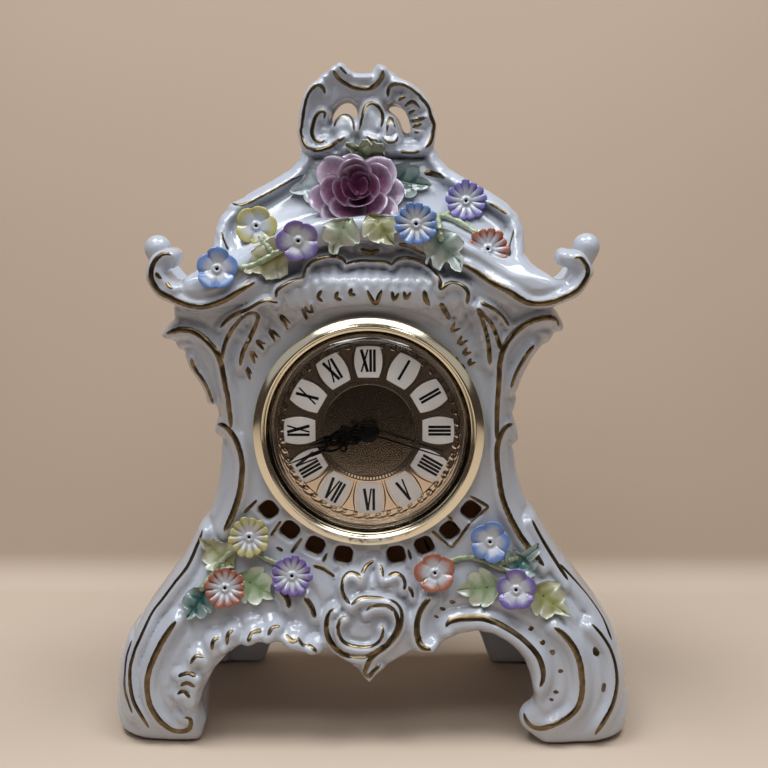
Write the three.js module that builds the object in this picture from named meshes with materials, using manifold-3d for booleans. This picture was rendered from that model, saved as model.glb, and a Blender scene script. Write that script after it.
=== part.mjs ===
// Rococo porcelain mantel clock with a round quartz insert.
// Millimetres. +X is to the right, the dial faces -Y and +Z is up. The floor is z = 0.
import * as THREE from 'three';
import { mergeVertices } from 'three/addons/utils/BufferGeometryUtils.js';
import Module from 'manifold-3d';

const wasm = await Module();
wasm.setup();

// Driving dimensions of the porcelain case
const FOOT_HALF_WIDTH = 118.5;
const WAIST_HALF_WIDTH = 66.4;
const CAPITAL_HALF_WIDTH = 87.6;
const WALL_LEAN = 4;
const BACK_TAPER = 8;
const FOOT_FRONT_Y = -56;
const FOOT_BACK_Y = 58;
const FRONT_Y = -44;
const BACK_Y = 42;
const EAVE_FRONT_Y = -54;
const WALL = 6.5;
const FLOOR_Z = 50;
const FLOOR_THICKNESS = 8;
const DIAL_Z = 142.3;
const EAVE_ABOVE_DIAL = 56.7;
const NECK_ABOVE_EAVE = 63;
const CREST_HEIGHT = 43.5;
const CREST_FRONT_Y = -15;
const CREST_THICKNESS = 17;
const CREST_DISH = 2.6;
const EAVE_END_X = 84;
const EAVE_CURL_RADIUS = 4.3;
const EAVE_CURL_DEPTH = 19;
const EAR_X = 100;
const EAR_RADIUS = 7;
const HOOD_RECESS = 5;
const LIP_RISE = 28;
const REAR_OPENING_RADIUS = 42;
const PIERCING_SIZE = 8.3;
const GALLERY_RIM = 0.55;
const SCROLL_RADIUS = 2.1;
const TOE_RADIUS = 6.8;
const SHELL_WIDTH = 16;
const SHELL_RELIEF = 1.4;

// Driving dimensions of the applied flowers
const FLOWER_RADIUS = 9.1;
const ROSE_RADIUS = 20;
const LEAF_LENGTH = 19;
const LEAF_THICKNESS = 2.2;
const STEM_RADIUS = 1.4;

// Driving dimensions of the clock insert
const BEZEL_RADIUS = 51.5;
const BEZEL_RING_WIDTH = 4.4;
const BEZEL_HEIGHT = 6;
const BEZEL_LIP = 2.5;
const BEZEL_SEAT = 2;
const BAND_THICKNESS = 2.1;
const CUP_WALL = 1.2;
const CUP_DEPTH = 17;
const LENS_THICKNESS = 1.5;
const LENS_FLANGE = 0.7;
const LENS_RISE = 8;
const DIAL_THICKNESS = 0.8;
const DIAL_SETBACK = 2;
const NUMERAL_MARGIN = 8;
const NUMERAL_HEIGHT = 13.6;
const NUMERAL_WIDTH = 11.7;
const RELIEF = 0.5;
const MINUTE_HAND_PAST_NUMERALS = 1.2;
const HOUR_HAND_INTO_NUMERALS = 5.2;
const SECOND_HAND_SHORT_OF_RIM = 1.6;
const HAND_THICKNESS = 0.5;
const HAND_PITCH = 1.3;
const MINUTE_HAND_ANGLE = 248.3;
const HOUR_HAND_ANGLE = 257.4;
const SECOND_HAND_ANGLE = 107.9;

// Driving dimensions of the quartz movement
const MOVEMENT_SIDE = 57;
const MOVEMENT_DEPTH = 16;
const MOVEMENT_WALL = 1.5;
const BUSHING_RADIUS = 3.9;
const BUSHING_LENGTH = 5.4;
const NUT_RADIUS = 5.6;
const NUT_THICKNESS = 1.6;
const SECOND_ARBOR_RADIUS = 0.6;
const TUBE_WALL = 0.7;
const GEAR_THICKNESS = 0.9;
const LAYER_PITCH = 1.7;
const BATTERY_RADIUS = 7.1;
const BATTERY_TERMINAL = 1.6;
const CONTACT_SPACE = 2.1;
const TRAIN_CLEARANCE = 0.8;
const KNOB_RADIUS = 6;
const KNOB_HEIGHT = 3.5;

// Clearance left between neighbouring pieces, the least detail kept after a cut, and the sides of the
// rings that nest round the dial, which have to be alike to keep their clearance
const GAP = 0.3;
const MERGE = 0.05;
const RING_SIDES = 24;

// Heights and planes that follow from the driving dimensions
const EAVE_Z = DIAL_Z + EAVE_ABOVE_DIAL;
const NECK_Z = EAVE_Z + NECK_ABOVE_EAVE;
const CREST_BACK_Y = CREST_FRONT_Y + CREST_THICKNESS;
const CAVITY_Z = FLOOR_Z + FLOOR_THICKNESS;
const BORE_RADIUS = BEZEL_RADIUS - BEZEL_LIP;
const CUP_RADIUS = BORE_RADIUS - BAND_THICKNESS;
const DIAL_RADIUS = CUP_RADIUS - CUP_WALL - GAP;
const SEAT_RADIUS = BEZEL_RADIUS + BEZEL_SEAT;
const PIERCING_CIRCLE = SEAT_RADIUS + GALLERY_RIM + 0.5 * PIERCING_SIZE;
const NUMERAL_OUTER = DIAL_RADIUS - NUMERAL_MARGIN;
const NUMERAL_INNER = NUMERAL_OUTER - NUMERAL_HEIGHT;
const MINUTE_HAND_LENGTH = NUMERAL_OUTER + MINUTE_HAND_PAST_NUMERALS;
const HOUR_HAND_LENGTH = NUMERAL_INNER + HOUR_HAND_INTO_NUMERALS;
const SECOND_HAND_LENGTH = NUMERAL_OUTER - SECOND_HAND_SHORT_OF_RIM;
const DIAL_FRONT = FRONT_Y + DIAL_SETBACK;
const DIAL_BACK = DIAL_FRONT + DIAL_THICKNESS;
const CUP_FLOOR = DIAL_BACK + GAP;
const MOVEMENT_FRONT = CUP_FLOOR + CUP_WALL + GAP;
const MOVEMENT_BACK = MOVEMENT_FRONT + MOVEMENT_DEPTH;
const BUSHING_FRONT = MOVEMENT_FRONT - BUSHING_LENGTH;
const MINUTE_TUBE_RADIUS = SECOND_ARBOR_RADIUS + GAP + TUBE_WALL;
const HOUR_PIPE_RADIUS = MINUTE_TUBE_RADIUS + GAP + TUBE_WALL;
const HOUR_HAND_Y = BUSHING_FRONT - HAND_PITCH;
const MINUTE_HAND_Y = HOUR_HAND_Y - HAND_PITCH;
const SECOND_HAND_Y = MINUTE_HAND_Y - HAND_PITCH;

const porcelain = { color: 0xe6e9f2, roughness: 0.12, metalness: 0 };
const gold = { color: 0xc9a04a, roughness: 0.22, metalness: 1 };
const darkGold = { color: 0x8a6a3a, roughness: 0.15, metalness: 1 };
const black = { color: 0x101010, roughness: 0.45, metalness: 0 };
const glass = { color: 0xf2f6fa, roughness: 0.02, metalness: 0 };
const brass = { color: 0xb08d4f, roughness: 0.35, metalness: 1 };
const steel = { color: 0xb8babd, roughness: 0.3, metalness: 1 };
const copper = { color: 0xa4562e, roughness: 0.4, metalness: 1 };
const whitePlastic = { color: 0xdedcd2, roughness: 0.5, metalness: 0 };
const greenBoard = { color: 0x1f5a3a, roughness: 0.5, metalness: 0 };
const rubber = { color: 0xd8d8d2, roughness: 0.8, metalness: 0 };

const clock = new THREE.Group();

// Solids and booleans

function closedGeometry(geometry) {
  const plain = new THREE.BufferGeometry();
  plain.setAttribute('position', geometry.getAttribute('position').clone());
  if (geometry.index) plain.setIndex(geometry.index.clone());
  const merged = mergeVertices(plain, 1e-4);
  const index = Array.from(merged.index.array);
  const kept = [];
  for (let i = 0; i < index.length; i += 3) {
    const [a, b, c] = index.slice(i, i + 3);
    if (a !== b && b !== c && c !== a) kept.push(a, b, c);
  }
  merged.setIndex(signedVolume(merged, kept) < 0 ? kept.reverse() : kept);
  return merged;
}

function signedVolume(geometry, index) {
  const position = geometry.getAttribute('position');
  const [a, b, c] = [new THREE.Vector3(), new THREE.Vector3(), new THREE.Vector3()];
  let volume = 0;
  for (let i = 0; i < index.length; i += 3) {
    a.fromBufferAttribute(position, index[i]);
    b.fromBufferAttribute(position, index[i + 1]);
    c.fromBufferAttribute(position, index[i + 2]);
    volume += a.dot(b.cross(c)) / 6;
  }
  return volume;
}

function solid(geometry) {
  const closed = closedGeometry(geometry);
  const vertProperties = new Float32Array(closed.getAttribute('position').array);
  const triVerts = new Uint32Array(closed.index.array);
  return new wasm.Manifold(new wasm.Mesh({ numProp: 3, vertProperties, triVerts }));
}

function largestBody(manifold) {
  const bodies = manifold.decompose();
  return bodies.reduce((best, body) => (body.volume() > best.volume() ? body : best));
}

function geometryOf(manifold) {
  const mesh = manifold.simplify(MERGE).getMesh();
  const geometry = new THREE.BufferGeometry();
  geometry.setAttribute('position', new THREE.BufferAttribute(new Float32Array(mesh.vertProperties), 3));
  geometry.setIndex(new THREE.BufferAttribute(new Uint32Array(mesh.triVerts), 1));
  return geometry;
}

function piece(name, shape, look, parent = clock) {
  const geometry = shape.isBufferGeometry ? closedGeometry(shape) : geometryOf(shape);
  geometry.computeVertexNormals();
  const mesh = new THREE.Mesh(geometry, new THREE.MeshStandardMaterial(look));
  mesh.name = name;
  parent.add(mesh);
  return mesh;
}

// Forms that several pieces share

const radians = THREE.MathUtils.degToRad;
const mix = THREE.MathUtils.lerp;
const flat = ([x, y]) => new THREE.Vector2(x, y);
const mirrored = (half) => [...half, ...half.map(([x, z]) => [-x, z]).reverse()];

function outline(points) {
  const corners = points.map(flat);
  return new THREE.Shape(THREE.ShapeUtils.isClockWise(corners) ? corners.reverse() : corners);
}

// A plate whose outline lies in the X-Z plane, from frontY back to backY
function plate(shape, frontY, backY, bevel = 0) {
  const geometry = new THREE.ExtrudeGeometry(shape, {
    depth: backY - frontY - 2 * bevel,
    bevelEnabled: bevel > 0,
    bevelSize: bevel,
    bevelOffset: -bevel,
    bevelThickness: bevel,
    bevelSegments: 1,
  });
  geometry.rotateX(Math.PI / 2);
  return geometry.translate(0, backY - bevel, 0);
}

// A plate whose outline lies in the Y-Z plane, across the whole width
function crossPlate(shape, halfWidth) {
  const geometry = new THREE.ExtrudeGeometry(shape, { depth: 2 * halfWidth, bevelEnabled: false });
  geometry.rotateX(Math.PI / 2);
  geometry.rotateZ(Math.PI / 2);
  return geometry.translate(-halfWidth, 0, 0);
}

// A turned piece about the dial's axis, from a profile of [radius, y]
function turned(profile, segments = RING_SIDES, onAxis = false) {
  const points = onAxis ? profile : [...profile, profile[0]];
  return new THREE.LatheGeometry(points.map(flat), segments);
}

function rod(radius, frontY, backY, sides = 16) {
  return turned([[0, frontY], [radius, frontY], [radius, backY], [0, backY]], sides, true);
}

function tube(inner, outer, frontY, backY, sides = 16) {
  return turned([[inner, frontY], [outer, frontY], [outer, backY], [inner, backY]], sides);
}

function box(width, depth, height, x, y, z) {
  return new THREE.BoxGeometry(width, depth, height).translate(x, y, z);
}

function sweep(points, radius, sides = 6, steps = 12) {
  const path = new THREE.CatmullRomCurve3(points);
  const corner = (i) => (2 * Math.PI * i) / sides;
  const ring = Array.from({ length: sides }, (_, i) => [Math.cos(corner(i)), Math.sin(corner(i))]);
  const shape = outline(ring.map(([x, y]) => [radius * x, radius * y]));
  return new THREE.ExtrudeGeometry(shape, { steps, extrudePath: path, bevelEnabled: false });
}

// A skin through closed rings of equal count, capped at both ends
function loft(rings) {
  const count = rings[0].length;
  const positions = rings.flat().flatMap((p) => [p.x, p.y, p.z]);
  const index = [];
  for (let k = 0; k + 1 < rings.length; k += 1) {
    for (let i = 0; i < count; i += 1) {
      const [a, b] = [k * count + i, k * count + ((i + 1) % count)];
      index.push(a, b, b + count, a, b + count, a + count);
    }
  }
  const last = (rings.length - 1) * count;
  for (let i = 1; i + 1 < count; i += 1) {
    index.push(0, i + 1, i, last, last + i, last + i + 1);
  }
  const geometry = new THREE.BufferGeometry();
  geometry.setAttribute('position', new THREE.Float32BufferAttribute(positions, 3));
  geometry.setIndex(index);
  return geometry;
}

// A value read from rows of [key, value] with straight lines between them
function between(rows, key) {
  const next = rows.findIndex(([k]) => k > key);
  if (next === 0) return rows[0][1];
  if (next < 0) return rows.at(-1)[1];
  const [[a, low], [b, high]] = [rows[next - 1], rows[next]];
  return mix(low, high, (key - a) / (b - a));
}

// A level section: a rectangle with rounded corners, narrower at the back and moved aside
function section(z, half, front, back, frontCorner, backCorner, aside = 0, taper = 0) {
  const rear = half - taper;
  const corners = [
    [half - frontCorner, front + frontCorner, frontCorner, -90, 3],
    [rear - backCorner, back - backCorner, backCorner, 0, 2],
    [backCorner - rear, back - backCorner, backCorner, 90, 2],
    [frontCorner - half, front + frontCorner, frontCorner, 180, 3],
  ];
  return corners.flatMap(([x, y, radius, start, steps]) => Array.from({ length: steps + 1 }, (_, i) => {
    const angle = radians(start + (90 * i) / steps);
    return new THREE.Vector3(aside + x + radius * Math.cos(angle), y + radius * Math.sin(angle), z);
  }));
}

// The porcelain case

// The hand-built walls lean to the left, most at the capital, and close in towards the back
const LEAN = [
  [DIAL_Z - 46, 0], [DIAL_Z - 24, -0.25], [DIAL_Z - 7, -0.35], [DIAL_Z + 18, -0.78], [DIAL_Z + 30, -1],
  [DIAL_Z + 39, -1], [DIAL_Z + 47, -0.7], [EAVE_Z, -0.55], [EAVE_Z + 12, -0.12], [EAVE_Z + 22, 0],
];
const TAPER = [
  [0, 0.75], [CAVITY_Z, 1], [DIAL_Z - 42, 0.75], [DIAL_Z, 0.38], [EAVE_Z, 0.25], [EAVE_Z + 22, 0],
];
const leanAt = (z) => WALL_LEAN * between(LEAN, z);

function bodyShell() {
  const spread = (share) => mix(WAIST_HALF_WIDTH, FOOT_HALF_WIDTH, share);
  const flare = (share) => mix(WAIST_HALF_WIDTH, CAPITAL_HALF_WIDTH, share);
  const fore = (share) => mix(FRONT_Y, FOOT_FRONT_Y, share);
  const aft = (share) => mix(BACK_Y, FOOT_BACK_Y, share);
  const seat = DIAL_Z - SEAT_RADIUS - 1;
  const rise = (share) => mix(0, seat, share);
  const shoulder = (share) => mix(DIAL_Z + 8, EAVE_Z, share);
  const rows = [
    [0, spread(0.885), fore(0.62), aft(0.81), 17, 12],
    [rise(0.034), spread(0.956), fore(0.83), aft(0.91), 18, 12],
    [rise(0.09), spread(0.99), fore(0.95), aft(1), 20, 12],
    [rise(0.2), spread(1), fore(1), aft(0.97), 22, 12],
    [rise(0.34), spread(0.98), fore(0.95), aft(0.88), 22, 12],
    [rise(0.456), spread(0.92), fore(0.87), aft(0.75), 22, 12],
    [rise(0.57), spread(0.82), fore(0.75), aft(0.62), 21, 12],
    [rise(0.683), spread(0.683), fore(0.6), aft(0.5), 21, 12],
    [rise(0.91), spread(0.407), fore(0.2), aft(0.19), 18, 12],
    [seat, spread(0.31), fore(0), aft(0.1), 16, 12],
    [mix(seat, DIAL_Z, 0.33), spread(0.11), fore(0), aft(0), 14, 12],
    [mix(seat, DIAL_Z, 0.55), spread(0.04), fore(0), aft(0), 14, 12],
    [mix(seat, DIAL_Z, 0.87), spread(0), fore(0), aft(0), 14, 12],
    [shoulder(0), flare(0.05), fore(0), aft(0), 14, 12],
    [shoulder(0.2), flare(0.21), fore(0), aft(0), 14, 12],
    [shoulder(0.51), flare(0.6), fore(0), aft(0), 16, 12],
    [shoulder(0.63), flare(0.87), fore(0), aft(0), 16, 12],
    [shoulder(0.72), flare(1), fore(0), aft(0), 16, 12],
    [shoulder(0.8), flare(0.98), fore(0), aft(0), 16, 12],
    [shoulder(0.88), flare(0.9), fore(0), aft(0), 16, 12],
    [shoulder(1), flare(0.84), fore(0), aft(0), 16, 12],
    [EAVE_Z + 5, flare(0.6), fore(0), aft(0), 16, 12],
    [EAVE_Z + 12, flare(0.12), fore(0), aft(0), 14, 12],
    [EAVE_Z + 22, flare(-0.4), fore(-0.2), aft(0), 12, 12],
  ];
  return solid(loft(rows.map((row) => section(...row, leanAt(row[0]), BACK_TAPER * between(TAPER, row[0])))));
}

// The lower edge of the eave, which arches over the dial, as [x, z] points from left to right
function eaveEdge() {
  const half = [[0, 1], [20, 0.94], [34, 0.77], [45, 0.52], [54, 0.29], [63, 0.1]];
  const right = half.map(([x, share]) => [x, EAVE_Z + share * LIP_RISE]);
  return [...right.slice(1).map(([x, z]) => [-x, z]).reverse(), ...right];
}

// The lip of the eave follows its arched edge, coved below down to the front wall
function eaveLip() {
  const profile = [
    [FRONT_Y + 4, -10], [FRONT_Y - 1.2, -9], [FRONT_Y - 2.4, -5], [FRONT_Y - 5, -1.5],
    [EAVE_FRONT_Y + 1.5, 1], [EAVE_FRONT_Y + 2.5, 6], [EAVE_FRONT_Y + 8, 9.5],
    [EAVE_FRONT_Y + 19, 11], [FRONT_Y + 12, 4],
  ];
  const ring = ([x, z]) => profile.map(([y, rise]) => new THREE.Vector3(x, y, z + rise));
  return solid(loft(eaveEdge().map(ring)));
}

// The hood: a sloping roof over the eave, with a panel sunk inside its edge
function hood() {
  const half = [
    ...eaveEdge().filter(([x]) => x >= 0),
    [70, EAVE_Z + 0.4], [EAVE_END_X - 6, EAVE_Z + 0.2], [EAVE_END_X, EAVE_Z + 1],
    [EAVE_END_X, EAVE_Z + 7], [EAVE_END_X - 6, EAVE_Z + 12.5], [72, EAVE_Z + 16.6], [68.2, EAVE_Z + 21],
    [68.8, EAVE_Z + 27], [68.8, EAVE_Z + 32], [66.5, EAVE_Z + 38], [62.5, EAVE_Z + 42.5], [54, EAVE_Z + 48.2],
    [45, EAVE_Z + 53], [36, NECK_Z - 4.5], [32, NECK_Z], [29, NECK_Z + 7], [0, NECK_Z + 7],
  ];
  const panel = [
    [0, EAVE_Z + LIP_RISE + 10], [24, EAVE_Z + LIP_RISE + 7], [44, EAVE_Z + 26], [59, EAVE_Z + 23],
    [63, EAVE_Z + 27], [63, EAVE_Z + 31], [61, EAVE_Z + 35],
    [58, EAVE_Z + 38.5], [51, EAVE_Z + 43.2], [42, EAVE_Z + 48], [33, EAVE_Z + 52.5], [27, EAVE_Z + 58],
    [25, NECK_Z], [0, NECK_Z],
  ];
  const slope = [
    [FRONT_Y - 5, EAVE_Z - 2], [EAVE_FRONT_Y + 1, EAVE_Z + 1.5], [EAVE_FRONT_Y, EAVE_Z + 7],
    [EAVE_FRONT_Y + 1, EAVE_Z + 12], [EAVE_FRONT_Y + 4, EAVE_Z + 17], [EAVE_FRONT_Y + 12.5, EAVE_Z + 25],
    [EAVE_FRONT_Y + 20.5, EAVE_Z + 34], [EAVE_FRONT_Y + 27.5, EAVE_Z + 45], [CREST_FRONT_Y - 6, EAVE_Z + 55],
    [CREST_FRONT_Y - 3, NECK_Z], [CREST_FRONT_Y - 1, NECK_Z + 8], [CREST_BACK_Y + 2, NECK_Z + 8],
    [CREST_BACK_Y + 6, NECK_Z], [CREST_BACK_Y + 19, NECK_Z - 6], [BACK_Y - 9, NECK_Z - 16],
    [BACK_Y - 1, NECK_Z - 28], [BACK_Y + 2, EAVE_Z + 22], [BACK_Y + 4, EAVE_Z + 10], [BACK_Y + 2, EAVE_Z - 1],
  ];
  const roof = solid(crossPlate(outline(slope), EAVE_END_X + 20));
  const front = solid(plate(outline(mirrored(half)), EAVE_FRONT_Y - 5, BACK_Y + 8));
  const sunk = solid(plate(outline(mirrored(panel)), EAVE_FRONT_Y - 5, CREST_FRONT_Y + 5));
  return front.intersect(roof).subtract(sunk.subtract(roof.translate(0, HOOD_RECESS, 0)));
}

// A flat band of even width along a curve through [x, z] points
function band(points, halfWidth) {
  const path = new THREE.SplineCurve(points.map(flat));
  const steps = 8;
  const edge = (side) => Array.from({ length: steps + 1 }, (_, i) => {
    const along = path.getTangentAt(i / steps);
    const at = path.getPointAt(i / steps);
    return [at.x - side * halfWidth * along.y, at.y + side * halfWidth * along.x];
  });
  return [...edge(1), ...edge(-1).reverse()];
}

// The eave turns up into a curl at each front corner
function eaveCurl(side) {
  const points = [[-26, 6], [-14, 4], [-4, 4.3], [4, 7], [7.4, 13], [5.6, 18.4], [1, 20]];
  const route = points.map(([x, z]) => [side * (EAVE_END_X + x), EAVE_Z + z]);
  const shape = outline(band(route, EAVE_CURL_RADIUS));
  return solid(plate(shape, EAVE_FRONT_Y, EAVE_FRONT_Y + EAVE_CURL_DEPTH, 2));
}

// The rising ear on each side of the hood: a stalk that leans out and ends in a knob
function ear(side) {
  const stations = [
    [-10, 2, 0.95], [-6, 8, 0.85], [-2.5, 14, 0.8], [0, 20, 1], [0.5, 25, 0.9], [0.5, 28.5, 0.4],
  ];
  const rings = stations.map(([x, z, share]) => Array.from({ length: 8 }, (_, i) => {
    const angle = (side * i * Math.PI) / 4;
    const reach = share * EAR_RADIUS;
    const across = side * (EAR_X + x) + reach * Math.cos(angle);
    return new THREE.Vector3(across, reach * Math.sin(angle), EAVE_Z + z);
  }));
  return solid(loft(rings));
}

// The crest: a pierced plate with a dished face inside its rim and three upright lobes
function crest() {
  const edge = [
    [-26, -2], [-30.5, 4], [-32.2, 12], [-32, 20], [-30, 27.5], [-26, 34], [-20, 38.6], [-14.5, 42.3],
    [-12, CREST_HEIGHT], [-9, 39.6], [-4.5, 38], [1, 38], [2.6, 41], [4.6, CREST_HEIGHT - 0.4],
    [8, 40.6], [12.5, 37], [18, 34.6], [23, 30], [27, 24], [29.3, 16], [29, 10], [27, 5], [26, -2],
  ];
  const leftEye = [[-17, 17.5], [-14.3, 22], [-9.7, 25.4], [-6.1, 22], [-7.1, 17.4], [-11.1, 20.2]];
  const rightEye = [
    [8.4, 22.8], [13.9, 22.6], [17, 19], [18.4, 13.8], [16.9, 11.6], [14.4, 14.5], [12.6, 18.4],
  ];
  const dish = [
    [-22, 4], [-26.5, 9], [-27.5, 17], [-25, 26], [-19, 32], [-12, 35], [0, 33], [10, 33], [17, 29.5],
    [22.5, 23], [24.5, 16], [24, 9], [20, 4],
  ];
  const lobes = [[-10.5, 10, 5, 8], [0, 12, 5.4, 12], [9.6, 9, 4.4, 8]];
  const shape = outline(edge);
  const eyes = [outline(leftEye), outline(rightEye)];
  shape.holes.push(...eyes);
  let body = solid(plate(shape, CREST_FRONT_Y, CREST_BACK_Y, 1.2));
  body = body.subtract(solid(plate(outline(dish), CREST_FRONT_Y - 1, CREST_FRONT_Y + CREST_DISH)));
  for (const [x, z, wide, tall] of lobes) {
    const lobe = new THREE.SphereGeometry(1, 8, 4).scale(wide, CREST_DISH, tall);
    body = body.add(solid(lobe.translate(x, CREST_FRONT_Y + CREST_DISH, z)));
  }
  for (const eye of eyes) body = body.subtract(solid(plate(eye, CREST_FRONT_Y - 5, CREST_BACK_Y + 5)));
  return body.translate(0, 0, NECK_Z);
}

// The scalloped shell that arches over the dial
function shell() {
  const inner = SEAT_RADIUS + 2 * BEZEL_SEAT;
  const [start, scallops, perScallop] = [38, 5, 4];
  const span = 180 - 2 * start;
  const count = scallops * perScallop;
  const at = (radius, share) => {
    const angle = radians(start + share * span);
    return [radius * Math.cos(angle), DIAL_Z + radius * Math.sin(angle)];
  };
  const rim = Array.from({ length: count + 1 }, (_, i) => {
    const bulge = Math.abs(Math.sin((Math.PI * i) / perScallop));
    return at(inner + SHELL_WIDTH * (0.72 + 0.28 * bulge), i / count);
  });
  const base = Array.from({ length: 9 }, (_, i) => at(inner, 1 - i / 8));
  return solid(plate(outline([...rim, ...base]), FRONT_Y - SHELL_RELIEF, FRONT_Y + 1));
}

// The rolled toe at the inner front of each foot; the right one reaches further in
function toe(side) {
  const roll = rod(TOE_RADIUS, FOOT_FRONT_Y + 0.8, FOOT_FRONT_Y + 14, 14);
  const inset = side > 0 ? 42.5 : 38.5;
  return solid(roll.translate(side * (FOOT_HALF_WIDTH - inset), 0, TOE_RADIUS + 1));
}

function cartouche() {
  const half = [
    [0, 30], [4, 34.5], [12, 41], [17, 48], [19, 56], [17.5, 64], [13, 68], [15.5, 73], [13, 78.5], [8, 79.5],
    [5, 82], [0, 80],
  ];
  return solid(plate(outline(mirrored(half)), FOOT_FRONT_Y + 0.6, FRONT_Y + 3, 1.5));
}

function frontArch() {
  const half = [
    [0, 30], [4, 34.5], [12, 40], [19, 43.5], [24, 43.8], [29, 42], [33, 45], [38, 49], [48, 51], [56, 48.5],
    [64, 43], [70, 35], [73.5, 25], [75, 18], [73, 8], [76, -1], [0, -1],
  ];
  return solid(plate(outline(mirrored(half)), FOOT_FRONT_Y - 4, FRONT_Y + 7));
}

function rearArch() {
  const half = [[0, 44], [24, 42], [38, 37], [48, 28], [54.5, 16], [61.4, -1], [0, -1]];
  return solid(plate(outline(mirrored(half)), BACK_Y - 1, FOOT_BACK_Y + 4));
}

function underside() {
  const half = [[0, FLOOR_Z], [58, FLOOR_Z], [70, FLOOR_Z - 8], [77, FLOOR_Z - 22], [78, -1], [0, -1]];
  return solid(plate(outline(mirrored(half)), FRONT_Y + 6, BACK_Y + 0.5));
}

function sideArch() {
  const edge = [
    [-26, -1], [-24, 14], [-18, 26], [-8, 34], [6, 37], [20, 34], [31, 26], [38, 14], [BACK_Y, -1],
  ];
  return solid(crossPlate(outline(edge), FOOT_HALF_WIDTH + 5));
}

function cavity() {
  const inner = FRONT_Y + WALL;
  const back = BACK_Y - WALL;
  const half = WAIST_HALF_WIDTH - WALL - 2;
  const rows = [
    [CAVITY_Z, half + 14, inner - 5, back, 12, 8],
    [CAVITY_Z + 18, half + 12, inner - 1, back, 12, 8],
    [DIAL_Z - 46, half + 6, inner, back, 12, 8],
    [DIAL_Z - 24, half, inner, back, 12, 8],
    [EAVE_Z, half, inner, back, 12, 8],
    [EAVE_Z + 16, half - 6, inner, back, 12, 8],
    [EAVE_Z + 28, half - 22, inner + 12, back - 6, 10, 8],
  ];
  return solid(loft(rows.map((row) => section(...row))));
}

// The pierced squares in the gallery below the dial, four on each side
function piercings() {
  const half = 0.5 * PIERCING_SIZE;
  const corner = 0.3 * PIERCING_SIZE;
  const square = mirrored([[corner, -half], [half, -corner], [half, corner], [corner, half]]);
  const cuts = [];
  for (const side of [-1, 1]) {
    for (let k = 0; k < 4; k += 1) {
      const angle = radians(side * (11.8 + 13.2 * k));
      const cut = plate(outline(square), FRONT_Y - 15, FRONT_Y + 15);
      cut.translate(0, 0, -PIERCING_CIRCLE).rotateY(-angle);
      cuts.push(solid(cut.translate(0, 0, DIAL_Z)));
    }
  }
  return cuts;
}

function turnedCut(radius, frontY, backY) {
  return solid(rod(radius, frontY, backY, RING_SIDES).translate(0, 0, DIAL_Z));
}

const rayStart = FOOT_FRONT_Y - 60;

// The point of a mesh that is seen from the front at x, z, and its normal there
function seenAt(mesh, x, z) {
  const ray = new THREE.Raycaster(new THREE.Vector3(x, rayStart, z), new THREE.Vector3(0, 1, 0));
  const [hit] = ray.intersectObject(mesh);
  if (!hit) throw new Error(`nothing to seat on at ${x}, ${z}`);
  return { point: hit.point, normal: hit.face.normal.clone() };
}

// Raised scrolls that follow the front of the case, as [x, z] points of the right half
const SCROLLS = [
  [[77.5, 24], [75.5, 34], [68, 44.5], [57, 52], [46, 54.5], [37, 54]],
  [[FOOT_HALF_WIDTH - 32, 7], [FOOT_HALF_WIDTH - 24, 14], [FOOT_HALF_WIDTH - 21, 30],
    [FOOT_HALF_WIDTH - 26, 45], [FOOT_HALF_WIDTH - 34, 55]],
  [[CAPITAL_HALF_WIDTH - 7, EAVE_Z - 13.5], [CAPITAL_HALF_WIDTH - 13, EAVE_Z - 13],
    [WAIST_HALF_WIDTH, EAVE_Z - 22], [WAIST_HALF_WIDTH - 5, EAVE_Z - 36], [WAIST_HALF_WIDTH - 6, DIAL_Z],
    [WAIST_HALF_WIDTH - 7.4, DIAL_Z - 20]],
];

function scrolls(base) {
  const mesh = new THREE.Mesh(geometryOf(base), new THREE.MeshStandardMaterial());
  const found = [];
  for (const side of [-1, 1]) {
    for (const route of SCROLLS) {
      const points = route.map(([x, z]) => seenAt(mesh, side * x + leanAt(z), z).point);
      found.push(solid(sweep(points, SCROLL_RADIUS, 5, 6)));
    }
  }
  return found;
}

function caseBody() {
  let body = bodyShell().add(hood()).add(eaveLip()).add(crest()).add(shell());
  for (const side of [-1, 1]) body = body.add(ear(side)).add(eaveCurl(side)).add(toe(side));
  body = body.subtract(frontArch()).subtract(rearArch()).subtract(underside()).subtract(sideArch());
  for (const scroll of scrolls(body)) body = body.add(scroll);
  body = body.add(cartouche());
  body = body.subtract(turnedCut(SEAT_RADIUS, FOOT_FRONT_Y - 4, FRONT_Y));
  body = body.subtract(cavity());
  body = body.subtract(turnedCut(BORE_RADIUS, FRONT_Y - 1, FRONT_Y + WALL + 4));
  body = body.subtract(turnedCut(REAR_OPENING_RADIUS, BACK_Y - WALL - 12, BACK_Y + 12));
  for (const cut of piercings()) body = body.subtract(cut);
  const ground = solid(box(400, 400, 100, 0, 0, -50));
  return largestBody(body.subtract(ground));
}

const caseSolid = caseBody();
const caseMesh = piece('case_body', caseSolid, porcelain);
const caseClearance = caseSolid.translate(0, -GAP, 0).add(caseSolid.translate(0, 0, GAP));

// Applied porcelain flowers, leaves and stems

function placed(geometry, point, facing, turn = 0) {
  const aim = new THREE.Quaternion().setFromUnitVectors(new THREE.Vector3(0, 0, 1), facing);
  const spin = new THREE.Quaternion().setFromAxisAngle(new THREE.Vector3(0, 0, 1), radians(turn));
  const place = new THREE.Matrix4().compose(point, aim.multiply(spin), new THREE.Vector3(1, 1, 1));
  return geometry.applyMatrix4(place);
}

function facingAt(normal, forward) {
  return normal.clone().lerp(new THREE.Vector3(0, -1, 0.1), forward).normalize();
}

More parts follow.
